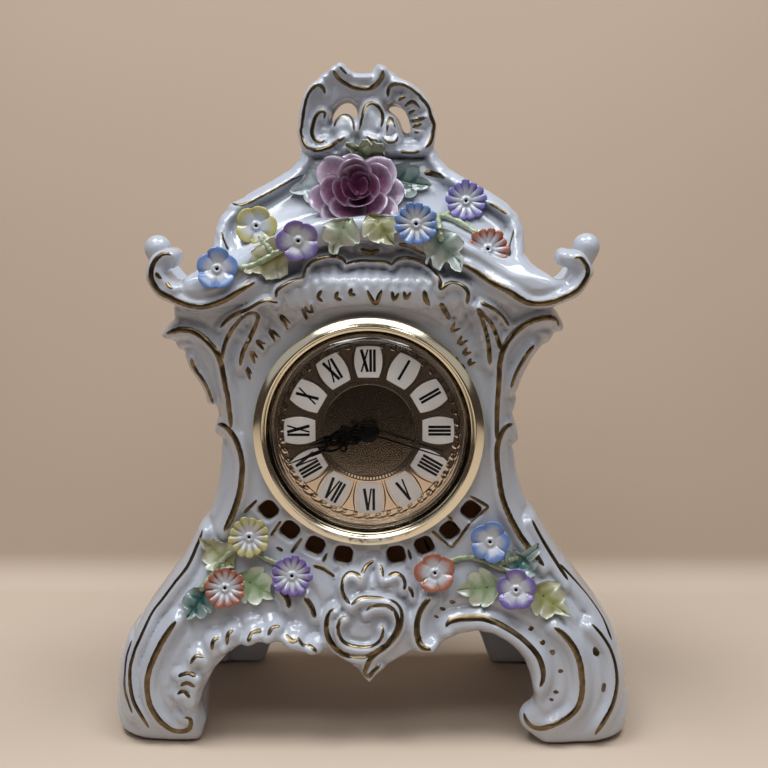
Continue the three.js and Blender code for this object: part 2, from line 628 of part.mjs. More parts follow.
// An open flower head that faces +Z, with its lobed rim and a short neck below
function flowerHead(radius, lobes, grow = 0) {
  const perLobe = lobes > 6 ? 2 : 3;
  const count = lobes * perLobe;
  const notch = lobes > 6 ? 0.12 : 0.17;
  const rim = (i) => {
    const wave = Math.abs(Math.cos((Math.PI * i) / perLobe));
    return radius * (1 - notch * (1 - wave)) + grow;
  };
  const rings = [
    [() => 0.2 * radius, 0.1], [rim, 0.34], [() => 0.36 * radius + grow, -0.45],
  ];
  return loft(rings.map(([reach, height]) => Array.from({ length: count }, (_, i) => {
    const angle = (2 * Math.PI * i) / count;
    const lift = height * radius;
    return new THREE.Vector3(reach(i) * Math.cos(angle), reach(i) * Math.sin(angle), lift);
  })));
}

// One cupped petal that grows out of the origin towards +X
function petal(length, width, lift, curl, thickness) {
  const [along, across] = [3, 3];
  const skin = (offset) => {
    const points = [];
    for (let i = 0; i <= along; i += 1) {
      for (let j = 0; j <= across; j += 1) {
        const u = i / along;
        const v = (2 * j) / across - 1;
        const spread = width * Math.sqrt(Math.max(0.06, 1 - (2 * u - 1.05) ** 2)) * (0.4 + 0.6 * u);
        const bowl = lift * u * u + 0.22 * spread * v * v - curl * u ** 4;
        points.push(new THREE.Vector3(length * u * (1 - 0.12 * v * v), spread * v, bowl + offset));
      }
    }
    return points;
  };
  const vertices = [...skin(thickness), ...skin(0)];
  const [row, layer] = [across + 1, (along + 1) * (across + 1)];
  const index = [];
  const quad = (a, b, c, d) => index.push(a, b, c, a, c, d);
  for (let i = 0; i < along; i += 1) {
    for (let j = 0; j < across; j += 1) {
      const a = i * row + j;
      quad(a, a + row, a + row + 1, a + 1);
      quad(layer + a, layer + a + 1, layer + a + row + 1, layer + a + row);
    }
  }
  for (let i = 0; i < along; i += 1) {
    const [a, b] = [i * row, i * row + across];
    quad(a, layer + a, layer + a + row, a + row);
    quad(b, b + row, layer + b + row, layer + b);
  }
  for (let j = 0; j < across; j += 1) {
    const [a, b] = [j, along * row + j];
    quad(a, a + 1, layer + a + 1, layer + a);
    quad(b, layer + b, layer + b + 1, b + 1);
  }
  const geometry = new THREE.BufferGeometry();
  const places = vertices.flatMap((p) => p.toArray());
  geometry.setAttribute('position', new THREE.Float32BufferAttribute(places, 3));
  geometry.setIndex(index);
  return geometry;
}

// The rose faces +Z: three whorls of petals round a closed bud
function rose(radius) {
  const whorls = [
    { count: 5, length: 1, width: 0.66, lift: 0.22, base: -0.05, start: 0 },
    { count: 3, length: 0.74, width: 0.6, lift: 0.42, base: 0.1, start: 30 },
    { count: 2, length: 0.42, width: 0.4, lift: 0.46, base: 0.24, start: 10 },
  ];
  const bud = [[0, -0.7], [0.42, -0.7], [0.45, 0], [0.26, 0.3], [0.2, 0.62], [0, 0.66]];
  const core = new THREE.LatheGeometry(bud.map(([r, z]) => new THREE.Vector2(r * radius, z * radius)), 10);
  let body = solid(core.rotateX(Math.PI / 2));
  for (const { count, length, width, lift, base, start } of whorls) {
    for (let k = 0; k < count; k += 1) {
      const shape = petal(length * radius, width * radius, lift * radius, 0.12 * radius, 0.09 * radius);
      shape.rotateZ(radians(start + (360 * k) / count));
      body = body.add(solid(shape.translate(0, 0, base * radius)));
    }
  }
  return geometryOf(body);
}

// A lobed leaf that lies along +X and faces +Z
function leaf(length) {
  const half = [
    [0, 0.05], [0.14, 0.1], [0.24, 0.3], [0.36, 0.24], [0.5, 0.44], [0.62, 0.3], [0.78, 0.36], [1, 0],
  ];
  const points = [...half, ...half.slice(0, -1).map(([u, v]) => [u, -v]).reverse()];
  const shape = outline(points.map(([u, v]) => [(u - 0.5) * length, v * length]));
  const geometry = new THREE.ExtrudeGeometry(shape, { depth: LEAF_THICKNESS, bevelEnabled: false });
  return geometry.translate(0, 0, -0.5 * LEAF_THICKNESS);
}

const FLOWER_COLOURS = {
  blue: 0x7f9fd6, yellow: 0xd8cd8a, violet: 0x9a8cc4, lilac: 0xb9aee0, orange: 0xc98a70,
};

// name, x, z, lobes, turn
const FLOWERS = [
  ['top_left_blue', -63.5, EAVE_Z + 15.5, 5, 20],
  ['top_left_yellow', -49, EAVE_Z + 33.6, 5, 5],
  ['top_left_violet', -30, EAVE_Z + 27.3, 5, 40],
  ['top_right_blue', 21.2, EAVE_Z + 34.2, 12, 0],
  ['top_right_lilac', 43, EAVE_Z + 44, 12, 10],
  ['top_right_orange', 52, EAVE_Z + 23.6, 12, 0],
  ['base_left_yellow', 64.8 - FOOT_HALF_WIDTH, DIAL_Z - 47.3, 12, 0],
  ['base_left_orange', 54.1 - FOOT_HALF_WIDTH, DIAL_Z - 69.5, 12, 12],
  ['base_left_violet', 84 - FOOT_HALF_WIDTH, DIAL_Z - 64.3, 12, 0],
  ['base_right_orange', FOOT_HALF_WIDTH - 89.2, DIAL_Z - 62.9, 5, 30],
  ['base_right_blue', FOOT_HALF_WIDTH - 64.7, DIAL_Z - 49.3, 5, 0],
  ['base_right_violet', FOOT_HALF_WIDTH - 53.3, DIAL_Z - 69.9, 5, 18],
];

// name, x, z, direction in degrees from +X towards +Z, colour
const LEAVES = [
  ['rose_top', -1.6, NECK_Z + 2.4, 75, 0x8fae72],
  ['rose_left', -25.5, EAVE_Z + 48.6, 200, 0xa8b8c0],
  ['rose_right', 17.5, EAVE_Z + 53.2, 15, 0x4a6e6c],
  ['rose_low_left', -12, EAVE_Z + LIP_RISE + 3, 240, 0xa9b79a],
  ['rose_low_right', 6, EAVE_Z + LIP_RISE + 4, 290, 0x8e9a5c],
  ['top_left', -43, EAVE_Z + 19.4, 215, 0x9aa06a],
  ['top_right', 34, EAVE_Z + 23.4, 320, 0x9fb3a4],
  ['base_left_high', 49.5 - FOOT_HALF_WIDTH, DIAL_Z - 54.7, 125, 0xb0b58a],
  ['base_left_mid', 69.5 - FOOT_HALF_WIDTH, DIAL_Z - 70, 300, 0x8dac7c],
  ['base_left_low', 40.8 - FOOT_HALF_WIDTH, DIAL_Z - 77.7, 220, 0x4f7470],
  ['base_right_mid', FOOT_HALF_WIDTH - 70.5, DIAL_Z - 70, 200, 0x9ab088],
  ['base_right_high', FOOT_HALF_WIDTH - 49.7, DIAL_Z - 58, 40, 0x6f9a94],
  ['base_right_low', FOOT_HALF_WIDTH - 37.9, DIAL_Z - 75.8, 335, 0xa6ab6e],
];

// Stems of each spray, as the [x, z] points they run through
const SPRAYS = {
  top_left: [
    [[-24, EAVE_Z + 32], [-34, EAVE_Z + 25], [-52, EAVE_Z + 16]],
    [[-34, EAVE_Z + 25], [-43, EAVE_Z + 29]],
  ],
  top_right: [
    [[26, EAVE_Z + 32], [38, EAVE_Z + 31], [46, EAVE_Z + 27]],
    [[36, EAVE_Z + 31.2], [40, EAVE_Z + 38]],
  ],
  base_left: [
    [
      [61.5 - FOOT_HALF_WIDTH, DIAL_Z - 57], [52.5 - FOOT_HALF_WIDTH, DIAL_Z - 60],
      [44.5 - FOOT_HALF_WIDTH, DIAL_Z - 67],
    ],
    [[57.5 - FOOT_HALF_WIDTH, DIAL_Z - 58], [55.5 - FOOT_HALF_WIDTH, DIAL_Z - 64]],
  ],
  base_right: [
    [
      [FOOT_HALF_WIDTH - 82.5, DIAL_Z - 62], [FOOT_HALF_WIDTH - 68.5, DIAL_Z - 59],
      [FOOT_HALF_WIDTH - 58.5, DIAL_Z - 64],
    ],
    [[FOOT_HALF_WIDTH - 66.5, DIAL_Z - 59.3], [FOOT_HALF_WIDTH - 61.5, DIAL_Z - 54]],
  ],
};

const applied = [];

function applyPiece(name, geometry, look) {
  let body = solid(geometry).subtract(caseClearance);
  for (const other of applied) body = body.subtract(other);
  body = largestBody(body);
  piece(name, body, look);
}

const ROSE_SEAT = seenAt(caseMesh, -4.6, EAVE_Z + 49.9);
const ROSE_FACING = facingAt(ROSE_SEAT.normal, 0.55);

function roseAt(radius) {
  const point = ROSE_SEAT.point.clone().addScaledVector(ROSE_FACING, 0.42 * ROSE_RADIUS);
  return placed(rose(radius), point, ROSE_FACING, 15);
}

applyPiece('rose', roseAt(ROSE_RADIUS), { color: 0x8d5f84, roughness: 0.2, metalness: 0 });
applied.push(solid(roseAt(ROSE_RADIUS + 2 * GAP)));

for (const [name, x, z, lobes, turn] of FLOWERS) {
  const { point, normal } = seenAt(caseMesh, x, z);
  const facing = facingAt(normal, 0.5);
  point.addScaledVector(facing, 0.45 * FLOWER_RADIUS);
  const colour = FLOWER_COLOURS[name.split('_').at(-1)];
  const look = { color: colour, roughness: 0.2, metalness: 0 };
  applyPiece(`flower_${name}`, placed(flowerHead(FLOWER_RADIUS, lobes), point, facing, turn), look);
  applied.push(solid(placed(flowerHead(FLOWER_RADIUS, lobes, GAP), point, facing, turn)));
}

for (const [name, x, z, direction, colour] of LEAVES) {
  const { point, normal } = seenAt(caseMesh, x, z);
  const facing = facingAt(normal, 0.25);
  point.addScaledVector(facing, 0.25 * LEAF_THICKNESS);
  const across = new THREE.Vector3(Math.cos(radians(direction)), 0, Math.sin(radians(direction)));
  const along = across.addScaledVector(facing, -across.dot(facing)).normalize();
  const basis = new THREE.Matrix4().makeBasis(along, facing.clone().cross(along), facing);
  const shape = leaf(LEAF_LENGTH).applyMatrix4(basis.setPosition(point));
  applyPiece(`leaf_${name}`, shape, { color: colour, roughness: 0.25, metalness: 0 });
  const tip = basis.clone().scale(new THREE.Vector3(1.05, 1.05, 1.3));
  applied.push(solid(leaf(LEAF_LENGTH).applyMatrix4(tip)));
}

for (const [name, runs] of Object.entries(SPRAYS)) {
  const lift = ({ point, normal }) => point.addScaledVector(normal, 0.4 * STEM_RADIUS);
  const route = (run) => run.map(([x, z]) => lift(seenAt(caseMesh, x, z)));
  const tubes = runs.map((run) => sweep(route(run), STEM_RADIUS, 5, 5));
  const stems = tubes.map(solid).reduce((all, one) => all.add(one));
  applyPiece(`stem_${name}`, geometryOf(stems), { color: 0x86a06c, roughness: 0.3, metalness: 0 });
}

// The clock insert, about the dial's axis

const insert = new THREE.Group();
insert.position.z = DIAL_Z;
clock.add(insert);

const bezelSeat = FRONT_Y - GAP;
const bezelTop = bezelSeat - BEZEL_HEIGHT;
const bezelStep = BEZEL_RADIUS - BEZEL_RING_WIDTH;
const lensRadius = DIAL_RADIUS - LENS_FLANGE;

function bezel() {
  const inner = lensRadius + GAP;
  return turned([
    [BEZEL_RADIUS, bezelSeat], [BEZEL_RADIUS, bezelSeat - 0.5 * BEZEL_HEIGHT],
    [BEZEL_RADIUS - 1.2, bezelTop + 0.6], [BEZEL_RADIUS - 2.4, bezelTop],
    [bezelStep + 0.8, bezelTop + 0.5], [bezelStep, bezelTop + 1.8],
    [inner, bezelTop + 2.4], [inner, bezelSeat],
  ]);
}

// A raised glass with a rounded shoulder, open at the back
function lens() {
  const top = DIAL_FRONT - LENS_RISE;
  const rim = DIAL_FRONT - RELIEF - GAP;
  const inside = lensRadius - LENS_THICKNESS;
  return turned([
    [0, top - LENS_THICKNESS], [lensRadius - 6, top - LENS_THICKNESS + 0.4], [lensRadius - 2, top - 0.4],
    [lensRadius, top + 1.8], [lensRadius, bezelSeat + GAP], [DIAL_RADIUS, bezelSeat + GAP],
    [DIAL_RADIUS, rim], [inside, rim], [inside, top + 2.2], [inside - 2, top + 0.8], [0, top],
  ], RING_SIDES, true);
}

function cup() {
  const back = bezelSeat + CUP_DEPTH;
  const inner = CUP_RADIUS - CUP_WALL;
  return turned([
    [BUSHING_RADIUS + GAP, CUP_FLOOR], [inner, CUP_FLOOR], [inner, bezelSeat + GAP],
    [CUP_RADIUS, bezelSeat + GAP], [CUP_RADIUS, back], [inner, back], [inner, CUP_FLOOR + CUP_WALL],
    [BUSHING_RADIUS + GAP, CUP_FLOOR + CUP_WALL],
  ]);
}

// The swelling rubber band that grips the bore
function gasket() {
  const inner = CUP_RADIUS + GAP;
  const outer = BORE_RADIUS - GAP;
  const start = bezelSeat + 2;
  const length = 8;
  return turned([
    [inner, start], [outer - 0.7, start], [outer, start + 0.3 * length], [outer - 0.7, start + length],
    [inner, start + length],
  ]);
}

function barrelOutline() {
  const middle = 0.5 * (NUMERAL_OUTER + NUMERAL_INNER);
  const reach = 0.5 * (NUMERAL_OUTER - NUMERAL_INNER);
  const half = 0.5 * NUMERAL_WIDTH;
  return [
    [0.74 * half, -reach], [half, -0.4 * reach], [half, 0.4 * reach], [0.78 * half, reach],
  ].map(([x, z]) => [x, z + middle]);
}

// The pressed dial: a raised border ring, an inner coin-edge ring and twelve numeral plaques
function dialPlate() {
  const hole = BUSHING_RADIUS + GAP;
  const top = DIAL_FRONT - RELIEF;
  const border = [NUMERAL_OUTER + 1.1, NUMERAL_OUTER + 2.9];
  const coin = [NUMERAL_INNER - 2.6, NUMERAL_INNER - 1.1];
  let dial = solid(turned([
    [hole, DIAL_FRONT], [coin[0], DIAL_FRONT], [coin[0], top], [coin[1], top], [coin[1], DIAL_FRONT],
    [border[0], DIAL_FRONT], [border[0], top], [border[1], top], [border[1], DIAL_FRONT],
    [DIAL_RADIUS, DIAL_FRONT], [DIAL_RADIUS, DIAL_BACK], [hole, DIAL_BACK],
  ]));
  for (let k = 0; k < 12; k += 1) {
    const plaque = plate(outline(mirrored(barrelOutline())), DIAL_FRONT - RELIEF, DIAL_FRONT + 0.4);
    dial = dial.add(solid(plaque.rotateY(radians(30 * k))));
  }
  return dial;
}

// A hand pointing to twelve: hub, slender stem, a pierced swelling and a fine point
function hand(length, hub, hole, swell) {
  const half = [
    [0.5, 0.86 * hub], [0.55, 0.4 * length], [swell, 0.5 * length], [1.15 * swell, 0.58 * length],
    [0.5 * swell, 0.7 * length], [0.5, 0.76 * length], [0.3, length],
  ];
  const shape = outline(mirrored(half));
  const eye = outline(mirrored([[0.1, 0.5 * length], [0.5 * swell, 0.57 * length], [0.1, 0.65 * length]]));
  shape.holes.push(eye);
  const blade = solid(plate(shape, 0, HAND_THICKNESS));
  const ring = solid(tube(hole, hub, 0, HAND_THICKNESS));
  return geometryOf(blade.add(ring));
}

function secondHand() {
  const shape = outline(mirrored([[0.7, -9], [0.7, -3], [0.35, 0], [0.25, SECOND_HAND_LENGTH]]));
  const blade = solid(plate(shape, 0, HAND_THICKNESS));
  const cap = solid(rod(2.2, -0.4, HAND_THICKNESS, 16));
  return blade.add(cap);
}

function arm(angle, y) {
  const group = new THREE.Group();
  group.rotation.y = radians(angle);
  group.position.y = y;
  insert.add(group);
  return group;
}

// A gear about the dial's axis with one tooth centred on the given angle, seen in the X-Z plane
function gear(teeth, module, y, angle, thickness = GEAR_THICKNESS) {
  const pitch = (0.5 * teeth * module);
  const [root, tip] = [pitch - 1.1 * module, pitch + 0.75 * module];
  const step = (2 * Math.PI) / teeth;
  const points = [];
  for (let k = 0; k < teeth; k += 1) {
    const centre = radians(angle) + k * step;
    for (const [radius, share] of [[root, -0.5], [tip, 0]]) {
      points.push([radius * Math.cos(centre + share * step), radius * Math.sin(centre + share * step)]);
    }
  }
  return solid(plate(outline(points), y, y + thickness));
}

// Where a wheel sits on the plan of the movement
function polar(distance, angle) {
  return [distance * Math.cos(radians(angle)), distance * Math.sin(radians(angle))];
}

const CANNON = { teeth: 8, module: 0.7 };
const MINUTE_WHEEL = { teeth: 24, module: CANNON.module };
const MOTION_DISTANCE = 0.5 * CANNON.module * (CANNON.teeth + MINUTE_WHEEL.teeth);
const MINUTE_PINION = { teeth: 8 };
const HOUR_WHEEL = { teeth: 32 };
const HOUR_MODULE = (2 * MOTION_DISTANCE) / (MINUTE_PINION.teeth + HOUR_WHEEL.teeth);
const THIRD_PINION = { teeth: 6, module: 0.4 };
const CENTRE_WHEEL = { teeth: 48, module: THIRD_PINION.module };
const TRAIN_DISTANCE = 0.5 * THIRD_PINION.module * (THIRD_PINION.teeth + CENTRE_WHEEL.teeth);
const SECOND_PINION = { teeth: 6 };
const THIRD_WHEEL = { teeth: 45 };
const THIRD_MODULE = (2 * TRAIN_DISTANCE) / (SECOND_PINION.teeth + THIRD_WHEEL.teeth);
const STEP_PINION = { teeth: 6, module: 0.4 };
const SECOND_WHEEL = { teeth: 30, module: STEP_PINION.module };
const STEP_DISTANCE = 0.5 * STEP_PINION.module * (STEP_PINION.teeth + SECOND_WHEEL.teeth);
const ROTOR_PINION = { teeth: 6, module: 0.35 };
const STEP_WHEEL = { teeth: 36, module: ROTOR_PINION.module };
const ROTOR_DISTANCE = 0.5 * ROTOR_PINION.module * (ROTOR_PINION.teeth + STEP_WHEEL.teeth);

const MINUTE_WHEEL_ANGLE = 62;
const THIRD_ANGLE = 165;
const STEP_ANGLE = 15;
const ROTOR_ANGLE = 20;
const MINUTE_WHEEL_AT = polar(MOTION_DISTANCE, MINUTE_WHEEL_ANGLE);
const THIRD_AT = polar(TRAIN_DISTANCE, THIRD_ANGLE);
const STEP_AT = polar(STEP_DISTANCE, STEP_ANGLE);
const ROTOR_AT = polar(ROTOR_DISTANCE, ROTOR_ANGLE).map((v, i) => v + STEP_AT[i]);

const innerFront = MOVEMENT_FRONT + MOVEMENT_WALL;
const innerBack = MOVEMENT_BACK - MOVEMENT_WALL;
const layer = (k) => innerFront + 0.5 + k * LAYER_PITCH;
const halfTooth = (teeth) => 180 / teeth;

function at(geometryOrSolid, [x, z]) {
  return geometryOrSolid.translate(x, 0, z);
}

function hourWheel() {
  const wheel = gear(HOUR_WHEEL.teeth, HOUR_MODULE, layer(0), MINUTE_WHEEL_ANGLE);
  const pipeInner = HOUR_PIPE_RADIUS - TUBE_WALL;
  const pipe = solid(tube(pipeInner, HOUR_PIPE_RADIUS, HOUR_HAND_Y - 0.3, layer(0) + GEAR_THICKNESS));
  const bore = solid(rod(pipeInner, layer(0) - 1, layer(0) + GEAR_THICKNESS + 1));
  return wheel.subtract(bore).add(pipe);
}

function minuteWheel() {
  const wheel = gear(MINUTE_WHEEL.teeth, MINUTE_WHEEL.module, layer(1), MINUTE_WHEEL_ANGLE + 180);
  const pinionTurn = MINUTE_WHEEL_ANGLE + 180 + halfTooth(MINUTE_PINION.teeth);
  const pinion = gear(MINUTE_PINION.teeth, HOUR_MODULE, layer(0) - 0.1, pinionTurn, LAYER_PITCH + 0.3);
  const arbor = solid(rod(0.6, innerFront + GAP, MOVEMENT_BACK + GAP + 1, 8));
  return wheel.add(pinion).add(arbor);
}

function centreWheel() {
  const inner = MINUTE_TUBE_RADIUS - TUBE_WALL;
  const wheel = gear(CENTRE_WHEEL.teeth, CENTRE_WHEEL.module, layer(2), THIRD_ANGLE);
  const cannonTurn = MINUTE_WHEEL_ANGLE + halfTooth(CANNON.teeth);
  const cannon = gear(CANNON.teeth, CANNON.module, layer(1) - 0.1, cannonTurn, LAYER_PITCH + 0.3);
  const post = solid(rod(MINUTE_TUBE_RADIUS, MINUTE_HAND_Y - 0.3, layer(2) + GEAR_THICKNESS));
  const bore = solid(rod(inner, MINUTE_HAND_Y - 2, layer(3)));
  return wheel.add(cannon).add(post).subtract(bore);
}

function thirdWheel() {
  const wheel = gear(THIRD_WHEEL.teeth, THIRD_MODULE, layer(3), THIRD_ANGLE + 180);
  const pinionTurn = THIRD_ANGLE + 180 + halfTooth(THIRD_PINION.teeth);
  const pinion = gear(THIRD_PINION.teeth, THIRD_PINION.module, layer(2) - 0.1, pinionTurn, LAYER_PITCH + 0.3);
  const arbor = solid(rod(0.5, innerFront + GAP, innerBack - GAP, 8));
  return wheel.add(pinion).add(arbor);
}

function secondsWheel() {
  const wheel = gear(SECOND_WHEEL.teeth, SECOND_WHEEL.module, layer(4), STEP_ANGLE);
  const pinionTurn = THIRD_ANGLE + halfTooth(SECOND_PINION.teeth);
  const pinion = gear(SECOND_PINION.teeth, THIRD_MODULE, layer(3) - 0.1, pinionTurn, LAYER_PITCH + 0.3);
  const arbor = solid(rod(SECOND_ARBOR_RADIUS, SECOND_HAND_Y + HAND_THICKNESS + GAP, innerBack - GAP, 8));
  return wheel.add(pinion).add(arbor);
}

function stepWheel() {
  const wheel = gear(STEP_WHEEL.teeth, STEP_WHEEL.module, layer(5), ROTOR_ANGLE);
  const pinionTurn = STEP_ANGLE + 180 + halfTooth(STEP_PINION.teeth);
  const pinion = gear(STEP_PINION.teeth, STEP_PINION.module, layer(4) - 0.1, pinionTurn, LAYER_PITCH + 0.3);
  const arbor = solid(rod(0.5, layer(4) - 0.8, innerBack - GAP, 8));
  return wheel.add(pinion).add(arbor);
}

const ROTOR_RADIUS = 2.2;

function rotor() {
  const pinionTurn = ROTOR_ANGLE + 180 + halfTooth(ROTOR_PINION.teeth);
  const pinion = gear(ROTOR_PINION.teeth, ROTOR_PINION.module, layer(5) - 0.1, pinionTurn, 1.2);
  const magnet = solid(rod(ROTOR_RADIUS, layer(5) + 1, innerBack - 0.5, 16));
  const arbor = solid(rod(0.4, layer(5) - 1, innerBack - GAP, 8));
  return pinion.add(magnet).add(arbor);
}

// Moulded movement case, open at the back: the train lies above the battery, each in its own room.
// The height follows from what the rooms hold, and the battery fills the width between its contacts.
const trainFloor = -0.5 * CENTRE_WHEEL.module * (CENTRE_WHEEL.teeth + 1.5) - TRAIN_CLEARANCE;
const bayTop = trainFloor - MOVEMENT_WALL;
const batteryZ = bayTop - GAP - BATTERY_RADIUS;
const innerHalfZ = BATTERY_RADIUS + GAP - batteryZ;
const innerHalfX = 0.5 * MOVEMENT_SIDE - MOVEMENT_WALL;
const batteryEnd = innerHalfX - CONTACT_SPACE;
const batteryY = innerFront + GAP + BATTERY_RADIUS;

const BOARD_WIDTH = 20;
const BOARD_THICKNESS = 1;
const BOARD_Y = innerBack - 4;
const BOARD_HEIGHT = 11;
const BOARD_MARGIN = 2;
const BOARD_AT = [
  BOARD_MARGIN + 0.5 * BOARD_WIDTH - innerHalfX,
  innerHalfZ - BOARD_MARGIN - 0.5 * BOARD_HEIGHT,
];

function room(lowZ, highZ) {
  const depth = MOVEMENT_BACK + 1 - innerFront;
  const height = highZ - lowZ;
  return solid(box(2 * innerHalfX, depth, height, 0, innerFront + 0.5 * depth, lowZ + 0.5 * height));
}

function movementCase() {
  const [wide, tall] = [innerHalfX + MOVEMENT_WALL, innerHalfZ + MOVEMENT_WALL];
  const half = [[innerHalfX, -tall], [wide, -innerHalfZ], [wide, innerHalfZ], [innerHalfX, tall]];
  const block = solid(plate(outline(mirrored(half)), MOVEMENT_FRONT, MOVEMENT_BACK));
  const bushing = solid(rod(BUSHING_RADIUS, BUSHING_FRONT, MOVEMENT_FRONT + 0.5));
  const bore = solid(rod(HOUR_PIPE_RADIUS + GAP, BUSHING_FRONT - 1, innerFront + 1));
  let body = block.add(bushing).subtract(bore);
  body = body.subtract(room(-innerHalfZ, bayTop)).subtract(room(trainFloor, innerHalfZ));
  for (const side of [-1, 1]) {
    const boss = rod(1.2, innerFront - 0.5, BOARD_Y - 0.5 * BOARD_THICKNESS - GAP, 8);
    body = body.add(at(solid(boss), [BOARD_AT[0] + side * 0.35 * BOARD_WIDTH, BOARD_AT[1]]));
  }
  return body;
}

function backCover() {
  const height = innerHalfZ - trainFloor - 2 * GAP;
  const width = 2 * (innerHalfX - GAP);
  const middle = 0.5 * (innerHalfZ + trainFloor);
  const slab = box(width, MOVEMENT_WALL - GAP, height, 0, 0.5 * (innerBack + GAP + MOVEMENT_BACK), middle);
  return solid(slab).subtract(at(solid(rod(1, innerBack - 1, MOVEMENT_BACK + 1, 12)), MINUTE_WHEEL_AT));
}

function setKnob() {
  const front = MOVEMENT_BACK + GAP;
  const grip = rod(KNOB_RADIUS, front, front + KNOB_HEIGHT);
  const socket = rod(1, front - 1, front + 1.5, 12);
  return at(solid(grip).subtract(solid(socket)), MINUTE_WHEEL_AT);
}

function battery() {
  const shoulder = batteryEnd - BATTERY_TERMINAL;
  const profile = [
    [0, -batteryEnd], [0.6 * BATTERY_RADIUS, -batteryEnd], [BATTERY_RADIUS, 0.6 - batteryEnd],
    [BATTERY_RADIUS, shoulder - 0.6], [BATTERY_RADIUS - 1, shoulder],
    [0.38 * BATTERY_RADIUS, shoulder], [0.38 * BATTERY_RADIUS, batteryEnd], [0, batteryEnd],
  ];
  return turned(profile, 16, true).rotateZ(-Math.PI / 2).translate(0, batteryY, batteryZ);
}

// A sprung contact plate with a pressed bump that meets the battery
function contact(side) {
  const thickness = 0.6;
  const x = side * (innerHalfX - GAP - 0.5 * thickness);
  const leaf = box(thickness, 9, 9, x, batteryY, batteryZ);
  const reach = CONTACT_SPACE - 2 * GAP - thickness;
  const bump = new THREE.CylinderGeometry(1.5, 2.6, reach + 0.2, 10);
  bump.rotateZ((side * Math.PI) / 2);
  bump.translate(x - side * 0.5 * (thickness + reach), batteryY, batteryZ);
  return solid(leaf).add(solid(bump));
}

// The stator's two poles surround the rotor and meet at the core bar that carries the coil
const STATOR_FRONT = layer(5) + 1.6;
const STATOR_THICKNESS = 1.2;
const CORE_WIDTH = 2.4;
const COIL_LENGTH = 17;
const COIL_X = ROTOR_AT[0] + 7.2;

function stator() {
  const [x, z] = ROTOR_AT;
  const half = 0.5 * COIL_LENGTH + 3;
  const right = COIL_X + 0.5 * CORE_WIDTH;
  const slabY = STATOR_FRONT + 0.5 * STATOR_THICKNESS;
  const width = right - (x - 4.2);
  let body = solid(box(width, STATOR_THICKNESS, 2 * half, right - 0.5 * width, slabY, z));
  const windowWidth = COIL_X - 0.5 * CORE_WIDTH - (x + 3.6);
  const windowX = x + 3.6 + 0.5 * windowWidth;
  const windowHeight = COIL_LENGTH + 2 * GAP;
  body = body.subtract(solid(box(windowWidth, 3 * STATOR_THICKNESS, windowHeight, windowX, slabY, z)));
  const eye = rod(ROTOR_RADIUS + 0.5, STATOR_FRONT - 1, STATOR_FRONT + STATOR_THICKNESS + 1, 16);
  return body.subtract(at(solid(eye), ROTOR_AT));
}

function coil() {
  const slabY = STATOR_FRONT + 0.5 * STATOR_THICKNESS;
  const z = ROTOR_AT[1];
  const winding = 1.1;
  const [width, depth] = [CORE_WIDTH + 2 * GAP, STATOR_THICKNESS + 2 * GAP];
  const outer = box(width + 2 * winding, depth + 2 * winding, COIL_LENGTH, COIL_X, slabY, z);
  return solid(outer).subtract(solid(box(width, depth, COIL_LENGTH + 2, COIL_X, slabY, z)));
}

function circuitBoard() {
  const board = solid(box(BOARD_WIDTH, BOARD_THICKNESS, BOARD_HEIGHT, BOARD_AT[0], BOARD_Y, BOARD_AT[1]));
  const drop = new THREE.CylinderGeometry(2.2, 2.8, 1.2, 10);
  const chip = solid(drop.translate(BOARD_AT[0] + 4, BOARD_Y + BOARD_THICKNESS, BOARD_AT[1]));
  return board.add(chip);
}

function quartzCrystal() {
  const can = new THREE.CylinderGeometry(1, 1, 6.5, 12);
  can.rotateZ(Math.PI / 2);
  return can.translate(BOARD_AT[0] - 4, BOARD_Y + 0.5 * BOARD_THICKNESS + GAP + 1, BOARD_AT[1] + 2);
}

function dialNut() {
  const back = DIAL_FRONT - GAP;
  const hex = solid(rod(NUT_RADIUS, back - NUT_THICKNESS, back, 6));
  return hex.subtract(solid(rod(BUSHING_RADIUS + GAP, back - NUT_THICKNESS - 1, back + 1)));
}

piece('bezel', bezel(), gold, insert);
piece('lens', lens(), glass, insert);
piece('dial_plate', dialPlate(), darkGold, insert);
piece('insert_cup', cup(), gold, insert);
piece('gasket', gasket(), rubber, insert);
piece('dial_nut', dialNut(), brass, insert);
piece('movement_case', movementCase(), black, insert);
piece('movement_back_cover', backCover(), whitePlastic, insert);
piece('circuit_board', circuitBoard(), greenBoard, insert);
piece('quartz_crystal', quartzCrystal(), steel, insert);
piece('stator', stator(), steel, insert);
piece('coil', coil(), copper, insert);
piece('contact_positive', contact(1), steel, insert);
piece('contact_negative', contact(-1), steel, insert);
piece('battery', battery(), steel, insert);
piece('set_knob', setKnob(), black, insert);
piece('hour_wheel', hourWheel(), whitePlastic, insert);
piece('minute_wheel', at(minuteWheel(), MINUTE_WHEEL_AT), whitePlastic, insert);
piece('centre_wheel', centreWheel(), brass, insert);
piece('third_wheel', at(thirdWheel(), THIRD_AT), whitePlastic, insert);
piece('seconds_wheel', secondsWheel(), whitePlastic, insert);
piece('intermediate_wheel', at(stepWheel(), STEP_AT), whitePlastic, insert);
piece('rotor', at(rotor(), ROTOR_AT), steel, insert);

const hourArm = arm(HOUR_HAND_ANGLE, HOUR_HAND_Y);
const minuteArm = arm(MINUTE_HAND_ANGLE, MINUTE_HAND_Y);
const secondArm = arm(SECOND_HAND_ANGLE, SECOND_HAND_Y);
piece('hour_hand', hand(HOUR_HAND_LENGTH, 4.4, HOUR_PIPE_RADIUS + GAP, 2.6), black, hourArm);
piece('minute_hand', hand(MINUTE_HAND_LENGTH, 3.6, MINUTE_TUBE_RADIUS + GAP, 2.4), black, minuteArm);
piece('second_hand', secondHand(), black, secondArm);

